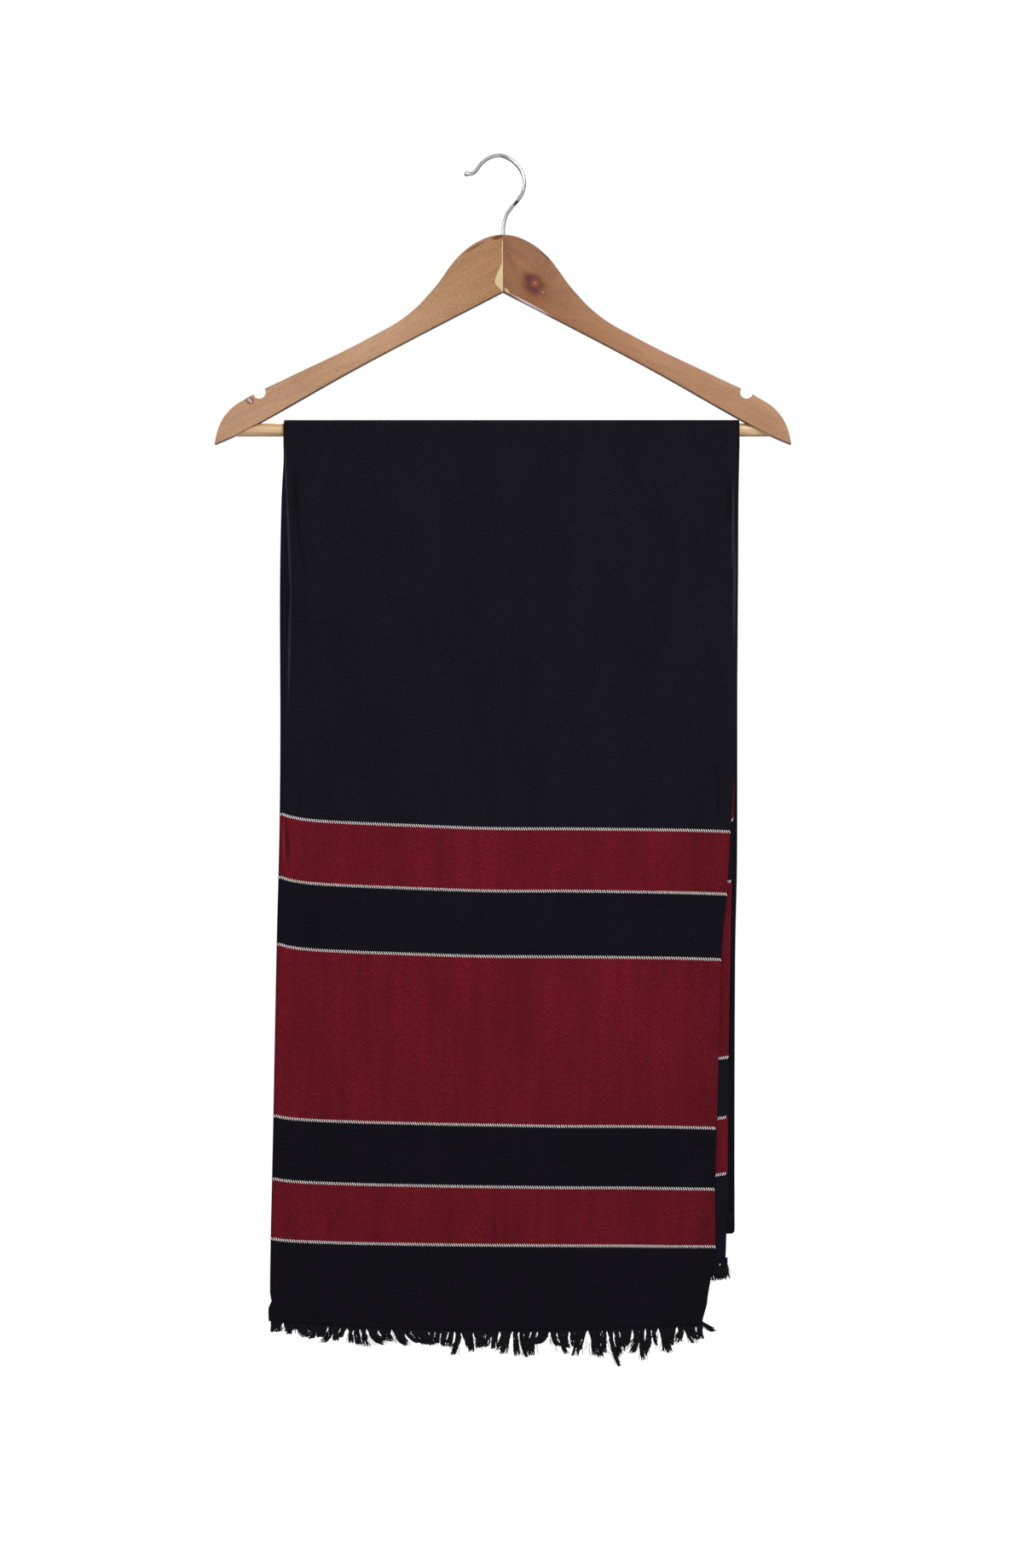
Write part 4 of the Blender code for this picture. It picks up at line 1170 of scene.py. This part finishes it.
def outer_piece(surface_of):
    front, front_places = fine_rows(OUTER_FRONT, "z_left", ROW_STEP)
    back, _ = fine_rows(OUTER_BACK, "z", BACK_ROW_STEP)
    grid = []
    for row in reversed(front):
        x, depth, share = outer_section(row.x_left, row.x_right, front_roll(row.z_left))
        grid.append(front_points(x, outer_z(row, share), depth))
    top = OUTER_BACK[0]
    x, depth, _ = outer_section(top.x_left, top.x_right, ROLL_ON_BAR)
    for angle in np.linspace(0, math.pi, BAR_STEPS + 1):
        grid.append(bar_points(x, angle, depth))
    for row in back:
        x, depth, _ = outer_section(row.x_left, row.x_right, back_roll(row.z))
        grid.append(back_points(x, np.full_like(x, row.z), depth))
    last = back[-1]
    x, depth, share = outer_section(last.x_left, last.x_right, ROLL_IN_FOLD)
    in_corner = np.clip((share - 1 + CORNER_SHARE) / CORNER_SHARE, 0.0, 1.0)
    for angle in np.linspace(0, math.pi, FOLD_STEPS + 1)[1:]:
        eased = FOLD_CORNER * math.sin(angle) ** 2 * in_corner
        grid.append(fold_points(x - eased, angle, 0.0, depth))
    for rise in (BACK_RETURN / 2, BACK_RETURN):
        grid.append(fold_points(x, math.pi, rise, depth))
    return ply("cloth_outer", grid, len(front) // 2, front, front_places, OUTER_THREADS, surface_of)


def under_frame(rows_outer, row):
    roll = front_roll(row.z_left)
    levels = np.array([r.z_left for r in rows_outer])
    lefts = np.array([r.x_left for r in rows_outer])
    x_left = np.interp(-row.z_left, -levels, lefts)
    return x_left + WALL / 2 + roll + FLAP + SEAM, roll


def under_points(rows_outer, row, x, drop=0.0):
    start, roll = under_frame(rows_outer, row)
    across = (x - start) / (row.x_right - start)
    depth = blend(UNDER_DEPTH, 2 * roll, smooth_step((start + DIVE - x) / DIVE))
    return front_points(x, under_z(row, across) - drop, depth)


def under_piece(surface_of, rows_outer):
    rows, places = fine_rows(UNDER_FRONT, "z_left", 2 * ROW_STEP)
    dive = np.linspace(0, UNDER_DIVE_SHARE, UNDER_DIVE_COLUMNS)
    flat = np.linspace(UNDER_DIVE_SHARE, 1, UNDER_COLUMNS)
    shares = np.unique(np.concatenate([dive, flat, [UNDER_EDGE_SHARE]]))
    grid = []
    for row in reversed(rows):
        start, _ = under_frame(rows_outer, row)
        grid.append(under_points(rows_outer, row, start + (row.x_right - start) * shares))
    return ply("cloth_under", grid, len(grid) // 2, rows, places, UNDER_THREADS, surface_of)


def folds_section(row, near, far):
    """x and depth round the hidden plies, with a rounded lip for each layer at either end."""
    thickness = (far - near) / len(FOLDS_STEPS)
    first = row.x_left + FOLDS_GROOVE
    last = row.x_right - FOLDS_GROOVE
    across = np.linspace(first, last, FOLDS_COLUMNS)
    section = [(x, near) for x in across]
    for index, step in enumerate(FOLDS_STEPS):
        section += lip(row.x_right - step, near + thickness * (index + 0.5), thickness, 1, LIP_ANGLES)
        if index < len(FOLDS_STEPS) - 1:
            section.append((last, near + thickness * (index + 1)))
    section += [(x, far) for x in across[::-1]]
    for index, step in reversed(list(enumerate(FOLDS_STEPS))):
        section += lip(row.x_left + step, near + thickness * (index + 0.5), thickness, -1, LIP_ANGLES[::-1])
        if index > 0:
            section.append((first, near + thickness * index))
    return np.array(section).T


def lip(x, depth, thickness, side, angles):
    """A layer's rounded edge."""
    half = thickness / 2
    made = []
    for angle in angles:
        turn = math.radians(angle)
        inward = LIP_REACH * half * (1 - math.cos(turn))
        made.append((x - side * inward, depth + LIP_FULLNESS * half * math.sin(turn)))
    return made


def folds_piece(surface, v_front):
    rings = []
    front, _ = fine_rows(FOLDS_FRONT, "z", FOLDS_ROW_STEP)
    back, _ = fine_rows(FOLDS_BACK, "z", FOLDS_ROW_STEP)
    for out, left in reversed(ROUND_ENDS):
        rings.append(rounded_ring(FOLDS_FRONT[0], front_points, out, left))
    for row in front[:-1]:
        x, depth = folds_section(row, row.near, row.far)
        rings.append(front_points(x, np.full_like(x, row.z), depth))
    top = FOLDS_BACK[0]
    x, depth = folds_section(top, top.near, top.far)
    for angle in np.linspace(0, math.pi, BAR_STEPS + 1):
        rings.append(bar_points(x, angle, depth))
    for row in back[1:]:
        x, depth = folds_section(row, row.near, row.far)
        rings.append(back_points(x, np.full_like(x, row.z), depth))
    for out, left in ROUND_ENDS:
        rings.append(rounded_ring(FOLDS_BACK[-1], back_points, out, left))
    rings = np.array(rings)
    faces = ring_faces(0, *rings.shape[:2])
    points = rings.reshape(-1, 3)
    v = np.where(points[:, 1] < 0, v_front(points[:, 2]), PLAIN_V)
    item = mesh_object("cloth_folds", points, faces, surface, np.stack([points[:, 0] + LEFT_ROOM, v], -1))
    turn_outward(item.data)
    return item


def rounded_ring(row, place, out, left):
    middle = (row.near + row.far) / 2
    half = (row.far - row.near) / 2
    x, depth = folds_section(row, middle - half * left, middle + half * left)
    return place(x, np.full_like(x, row.z - half * out), depth)


# White threads


def dash_line(tubes, line, outward, hand):
    """One white thread line: slanting floats side by side, each over three picks."""
    along = lengths_along(line)
    count = int(along[-1] / TWILL_ACROSS)
    draws = random.Random(int(along[-1] * 1e6))
    for dash in range(1, count + 1):
        middle = dash * TWILL_ACROSS + draws.uniform(-DASH_STRAY, DASH_STRAY)
        fat = draws.uniform(*DASH_FATNESS)
        centres = []
        radii = []
        for ring in DASH_RINGS:
            at = min(max(middle + hand * DASH_SHIFT * ring.place, 0.0), along[-1])
            point = np.array([np.interp(at, along, line[:, axis]) for axis in range(3)])
            out = np.array([np.interp(at, along, outward[:, axis]) for axis in range(3)])
            sunk = DASH_RADIUS * (DASH_SUNK + DASH_END_SUNK * max(0.0, abs(ring.place) - DASH_END))
            point = point + out * (WALL / 2 - sunk)
            point[2] -= DASH_HEIGHT * ring.place
            centres.append(point)
            radii.append(DASH_RADIUS * ring.fullness * fat)
        tubes.add(centres, radii, dash * DASH_TURN)


def outward_of(line):
    """Away from the cloth's face, level, for a line that runs left to right round the roll."""
    tangent = np.gradient(line, axis=0)
    out = np.stack([tangent[:, 1], -tangent[:, 0], np.zeros(len(line))], -1)
    return out / np.linalg.norm(out, axis=1)[:, None]


def outer_threads(surface):
    tubes = Tubes(THREAD_SIDES)
    for index in OUTER_THREADS:
        row = OUTER_FRONT[index]
        x, depth, share = outer_section(row.x_left, row.x_right, front_roll(row.z_left))
        line = front_points(x, outer_z(row, share), depth)
        dash_line(tubes, line, outward_of(line), 1)
    return tubes.to_object("threads_outer", surface)


def under_threads(surface, rows_outer):
    tubes = Tubes(THREAD_SIDES)
    for index in UNDER_THREADS:
        row = UNDER_FRONT[index]
        x = np.linspace(UNDER_THREADS_FROM, row.x_right - EDGE_COLUMNS[0], UNDER_THREAD_POINTS)
        line = under_points(rows_outer, row, x)
        dash_line(tubes, line, outward_of(line), -1)
    return tubes.to_object("threads_under", surface)


# Fringe


def length_at(lengths, across):
    for start, end in zip(lengths, lengths[1:]):
        if across <= end.across:
            return blend(start.length, end.length, (across - start.across) / (end.across - start.across))
    return lengths[-1].length


def fringe_piece(fringe, hem, surface):
    """Tufts of loose yarn on the roots of the solids' locks. Runs of tufts lean together into clumps."""
    draws = random.Random(fringe.seed)
    loose = random.Random(fringe.seed + 100)
    count = fringe.locks
    pitch = 1 / (count - 1 + LOCK_SHARE)
    spacing = pitch * np.linalg.norm(hem(1.0, 0.0, 0.0) - hem(0.0, 0.0, 0.0))
    locks = []
    tip_limit = -1.0
    for lock in range(count):
        root = hem((lock + LOCK_SHARE / 2) * pitch, GAP + STRIP_HEIGHT, 0.0)
        length = length_at(fringe.lengths, lock / (count - 1)) * (1 + LOCK_SPREAD * draws.uniform(-1, 1))
        lean = LOCK_LEAN * draws.uniform(-1, 1)
        tip_limit = max(root[0] + lean, tip_limit + TIP_SPACING)
        locks.append((root, length, tip_limit - root[0], fringe.inward * LOCK_SWAY * draws.random()))
    yarns = Tubes(YARN_SIDES)
    first = 0
    while first < count:
        clump = locks[first : first + loose.choice(CLUMP_SIZES)]
        middle = sum(root[0] + lean for root, _, lean, _ in clump) / len(clump)
        middle += CLUMP_LEAN * loose.uniform(-1, 1)
        reach = loose.uniform(*CLUMP_REACH)
        pull_in = loose.uniform(*CLUMP_PULL)
        hook = CLUMP_HOOK * loose.uniform(-1, 1)
        for root, length, lean, sway in clump:
            lean = blend(root[0] + lean, middle, pull_in) - root[0]
            tuft(yarns, loose, root, length * reach, lean, hook, sway, spacing, fringe.tuft)
        first += len(clump)
    corner = hem(1.0, GAP, 0.0)
    tuft(yarns, loose, corner, fringe.corner_fall, fringe.corner_lean, 0.0, 0.0, spacing / 2, fringe.tuft)
    return yarns.to_object(fringe.name, surface)


def tuft(yarns, loose, root, length, lean, hook, sway, pitch, size):
    """Crinkled yarns that leave the hem side by side, draw together and fray at their ends."""
    top = root + np.array([0.0, 0.0, STRIP_HEIGHT + GAP + TUFT_ABOVE])
    fall = top[2] - root[2] + length
    gather_over = 1.8 * GATHER * loose.uniform(0.6, 1.5)
    twist = loose.uniform(-TUFT_TWIST, TUFT_TWIST)
    bow = loose.uniform(-1, 1) * TUFT_BOW

    def middle_x(t):
        return top[0] + lean * t**LEAN_POWER + hook * t**3

    for yarn in range(size.yarns):
        share = (yarn + 0.5) / size.yarns - 0.5
        reach = 1 - YARN_CUT_SHORT * loose.random() ** 2
        place = loose.uniform(0, 2 * math.pi)
        spread_out = math.sqrt(loose.random())
        flare = loose.uniform(0.0, 1.0) ** 2
        line = []
        for step in range(TUFT_STEPS):
            t = step / (TUFT_STEPS - 1)
            down = fall * reach * t
            held = 1 - smooth_step(down / gather_over)
            angle = place + twist * t
            ball = size.radius * spread_out * (1 + FRAY * flare * max(0.0, t - FRAY_FROM))
            crimp = CRIMP * (1 if step % 2 else -1) * loose.uniform(0.3, 1.0)
            x = middle_x(t) + bow * math.sin(math.pi * t)
            x += held * share * pitch * ROOT_OVERLAP + (1 - held) * ball * math.cos(angle) + crimp
            rise = math.sin(angle) * (size.front if math.sin(angle) < 0 else 1.0)
            y = top[1] + sway * t + (1 - held) * TUFT_DEPTH * ball * rise - crimp * size.front
            line.append((x, y, top[2] - down))
        radius = YARN_RADIUS * loose.uniform(0.85, 1.15)
        tapers = [min(1.0, TIP_FULLNESS + (1 - step / (TUFT_STEPS - 1)) * 5) for step in range(TUFT_STEPS)]
        yarns.add(line, [radius * taper for taper in tapers], loose.random())
    for _ in range(WISPS):
        begin = loose.uniform(0.0, 0.75)
        side = loose.uniform(-1, 1) * loose.choice((0.5, 1.0, 1.8))
        line = []
        for step in range(WISP_STEPS):
            t = begin + (1.05 - begin) * step / (WISP_STEPS - 1)
            away = (t - begin) ** 1.3
            x = middle_x(t) + side * (size.radius + WISP_AWAY * away) + loose.uniform(-1, 1) * WISP_STRAY
            y = top[1] + sway * t + loose.uniform(-size.front, 1) * WISP_STRAY_DEPTH
            line.append((x, y, top[2] - fall * min(t, 1.0) + abs(side) * WISP_RISE * away))
        yarns.add(line, [WISP_RADIUS] * (WISP_STEPS - 1) + [WISP_RADIUS * 0.5], loose.random())


def outer_hem(across, drop, depth):
    row = OUTER_FRONT[-1]
    start = row.x_left + WALL / 2 + front_roll(row.z_left)
    x = blend(start, row.x_right, across)
    return front_points(x, outer_z(row, across) - drop, depth)


def under_hem_of(rows_outer):
    def under_hem(across, drop, depth):
        row = UNDER_FRONT[-1]
        start, _ = under_frame(rows_outer, row)
        point = under_points(rows_outer, row, blend(start, row.x_right, across), drop)
        point[1] += depth
        return point

    return under_hem


# Hanger


def mesh_from_curve(outline):
    name = outline.name
    mesh = evaluated_mesh(outline)
    mesh.transform(outline.matrix_world)
    bpy.data.objects.remove(outline, do_unlink=True)
    turn_outward(mesh, WELD)
    return put(name, mesh)


def cylinder(x, z, radius, depth, turn=(0, 0, 0), vertices=48):
    bpy.ops.mesh.primitive_cylinder_add(
        vertices=vertices, radius=radius, depth=depth, location=(x, 0, z), rotation=turn
    )
    return bpy.context.active_object


def arm_cutters(side):
    """What is cut out of an arm: its overrun at the seam, the notch, the bar's socket, the wire's bore."""
    bpy.ops.mesh.primitive_cube_add(
        size=1.0,
        location=(side * (JOINT / 2 - 2 * ARM_OVERRUN), 0, SEAM_CUT_Z),
        scale=(4 * ARM_OVERRUN, 2 * ARM_THICKNESS, SEAM_CUT_HEIGHT),
    )
    seam = bpy.context.active_object
    notch = cylinder(side * NOTCH_OUT, NOTCH_Z, NOTCH_RADIUS, 2 * ARM_THICKNESS, FACING)
    socket_x = side * (BAR_REACH + GAP - SOCKET_LENGTH / 2)
    socket = cylinder(socket_x, BAR_Z, BAR_RADIUS + GAP, SOCKET_LENGTH, ACROSS)
    bore_z = SHANK_FOOT_Z - GAP + BORE_LENGTH / 2
    bore = cylinder(0, bore_z, WIRE_RADIUS + GAP, BORE_LENGTH, vertices=32)
    return seam, notch, socket, bore


def arm_piece(name, wood):
    curve = bpy.data.curves.new(name, "CURVE")
    curve.dimensions = "2D"
    curve.fill_mode = "BOTH"
    curve.extrude = ARM_THICKNESS / 2
    curve.resolution_u = CURVE_STEPS
    spline = curve.splines.new("BEZIER")
    spline.bezier_points.add(len(ARM_OUTLINE) - 1)
    spline.use_cyclic_u = True
    for point, place in zip(spline.bezier_points, ARM_OUTLINE):
        point.co = (wood.side * place.out, place.z, 0.0)
        point.handle_left_type = place.handle
        point.handle_right_type = place.handle
    outline = put(name, curve)
    outline.rotation_euler = FACING
    item = mesh_from_curve(outline)
    item.data.materials.append(wood_material(wood))
    cutters = arm_cutters(wood.side)
    rounding = item.modifiers.new("Rounded edges", "BEVEL")
    rounding.width = ARM_EDGE_ROUND
    rounding.segments = 4
    rounding.limit_method = "ANGLE"
    rounding.angle_limit = math.radians(60)
    for each in cutters:
        boolean = item.modifiers.new("Cut", "BOOLEAN")
        boolean.operation = "DIFFERENCE"
        boolean.object = each
    apply_modifiers(item)
    for each in cutters:
        bpy.data.objects.remove(each, do_unlink=True)
    smooth_to(item, 35)
    return item


def bar_piece(surface):
    item = cylinder(0, BAR_Z, BAR_RADIUS, 2 * BAR_REACH, ACROSS, 64)
    item.name = "bar_dowel"
    item.data.transform(item.matrix_world)
    item.matrix_world.identity()
    item.location = (0, 0, 0)
    item.rotation_euler = (0, 0, 0)
    item.data.materials.append(surface)
    rounding = item.modifiers.new("Eased ends", "BEVEL")
    rounding.width = BAR_EASED
    rounding.segments = 3
    rounding.limit_method = "ANGLE"
    apply_modifiers(item)
    smooth_to(item, 50)
    return item


def hook_piece(surface):
    line = []
    for stretch in stretches(HOOK_ROUTE):
        for step in range(HOOK_SPANS):
            line.append([through(*column, step / HOOK_SPANS) for column in zip(*stretch)])
    end_x, end_z = HOOK_ROUTE[-1]
    radii = [WIRE_RADIUS] * len(line)
    for angle in BEAD_ANGLES:
        turn = math.radians(angle)
        line.append([end_x - BEAD_RADIUS * (1 - math.cos(turn)), end_z])
        radii.append(BEAD_RADIUS * math.sin(turn))
    tubes = Tubes(HOOK_SIDES)
    tubes.add([(x, 0.0, z) for x, z in line], radii)
    return tubes.to_object("hook_wire", surface)


# Stage


def build_stage():
    floor = cylinder(0, FLOOR_Z - FLOOR_THICKNESS / 2, FLOOR_RADIUS, FLOOR_THICKNESS, vertices=96)
    floor.name = "floor"
    floor.data.materials.append(Surface("Pale floor").finish((0.82, 0.82, 0.83, 1.0), 0.7))
    floor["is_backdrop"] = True

    camera = bpy.data.cameras.new("Camera")
    camera.sensor_width = SENSOR
    camera.lens = SENSOR * CAMERA_AWAY / FRAME_HEIGHT
    camera.clip_end = 50
    item = put("Camera", camera)
    item.location = (CAMERA_X, -CAMERA_AWAY, CAMERA_Z)
    item.rotation_euler = FACING
    bpy.context.scene.camera = item

    for name, place, size, power in LAMPS:
        light = bpy.data.lights.new(name, "AREA")
        light.shape = "DISK"
        light.size = size
        light.energy = power
        lamp = put(name, light)
        lamp.location = place
        lamp.rotation_euler = (Vector(LAMP_AIM) - Vector(place)).to_track_quat("-Z", "Y").to_euler()
    build_world()
    bpy.context.scene.view_settings.view_transform = "Standard"


def build_world():
    """White to the eye, and shaded by height and depth for what it lights and what mirrors it."""
    world = bpy.data.worlds.new("Studio")
    bpy.context.scene.world = world
    world.use_nodes = True
    g = Graph(world.node_tree)
    seen = g.tree.nodes["Background"]
    seen.inputs["Color"].default_value = (1.0, 1.0, 1.0, 1.0)
    lit = g.node("Background")
    axes = g.parts(g.node("TexCoord").outputs["Generated"])
    levels = [g.spread(axes[axis], *limits) for axis, *limits in WORLD_LEVELS]
    g.plug(g.times(*levels), lit.inputs["Strength"])
    seen_directly = g.node("LightPath").outputs["Is Camera Ray"]
    mixed = g.node("MixShader", seen_directly, lit.outputs[0], seen.outputs[0])
    g.plug(mixed.outputs[0], g.tree.nodes["World Output"].inputs["Surface"])


def under_lengths(under):
    """Cloth lengths of the under ply's table rows, up from its hem, at its right edge."""
    rows, places = fine_rows(UNDER_FRONT, "z_left", 2 * ROW_STEP)
    layer = under.data.uv_layers["Cloth"].data
    heights = {loop.vertex_index: corner.uv[1] for loop, corner in zip(under.data.loops, layer)}
    columns = len(under.data.vertices) // len(rows)
    return [heights[(len(rows) - 1 - place) * columns] for place in places]


def main():
    for item in list(bpy.data.objects):
        bpy.data.objects.remove(item, do_unlink=True)
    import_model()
    cad_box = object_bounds()
    build_stage()

    outer = outer_piece(
        lambda edges: cloth_material("Striped twill", 1.0, edges, *OUTER_HEM_SHADES, PRESSED_CREASES)
    )
    rows_outer, _ = fine_rows(OUTER_FRONT, "z_left", ROW_STEP)
    under = under_piece(
        lambda edges: cloth_material("Striped twill reverse", -1.0, edges, *UNDER_HEM_SHADES, ()), rows_outer
    )
    depths = [-row.z_right for row in UNDER_FRONT]
    lengths = under_lengths(under)
    folds = folds_piece(under.data.materials[0], lambda z: np.interp(-z, depths, lengths))
    white = yarn_material("White wool", WHITE_DARK, WHITE_LIGHT, 0.1)
    black = yarn_material("Black wool", FRINGE_DARK, FRINGE_LIGHT, 0.02)
    outer_white = outer_threads(white)
    under_white = under_threads(white, rows_outer)
    fringe_outer = fringe_piece(OUTER_FRINGE, outer_hem, black)
    fringe_under = fringe_piece(UNDER_FRINGE, under_hem_of(rows_outer), black)
    left = arm_piece("arm_left", LEFT_BEECH)
    right = arm_piece("arm_right", RIGHT_BEECH)
    bar = bar_piece(dowel_material())
    hook = hook_piece(chrome_material())

    for piece, slot, nodes in (
        (outer, "black_wool", ("shawl_outer",)),
        (under, "black_wool", ("shawl_under",)),
        (folds, "black_wool", ("shawl_folds",)),
        (fringe_outer, "black_wool", ("fringe_outer",)),
        (fringe_under, "black_wool", ("fringe_under",)),
        (outer_white, "black_wool", ()),
        (under_white, "black_wool", ()),
        (left, "beech", ("hanger_arm_left",)),
        (right, "beech_red", ("hanger_arm_right",)),
        (bar, "pale_dowel", ("hanger_bar",)),
        (hook, "chrome", ("hanger_hook",)),
    ):
        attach(piece, "root")
        if nodes:
            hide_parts(*nodes)
    boxes = {"cad": cad_box, "visual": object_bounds()}
    {name: [list(corner) for corner in box] for name, box in boxes.items()}


main()
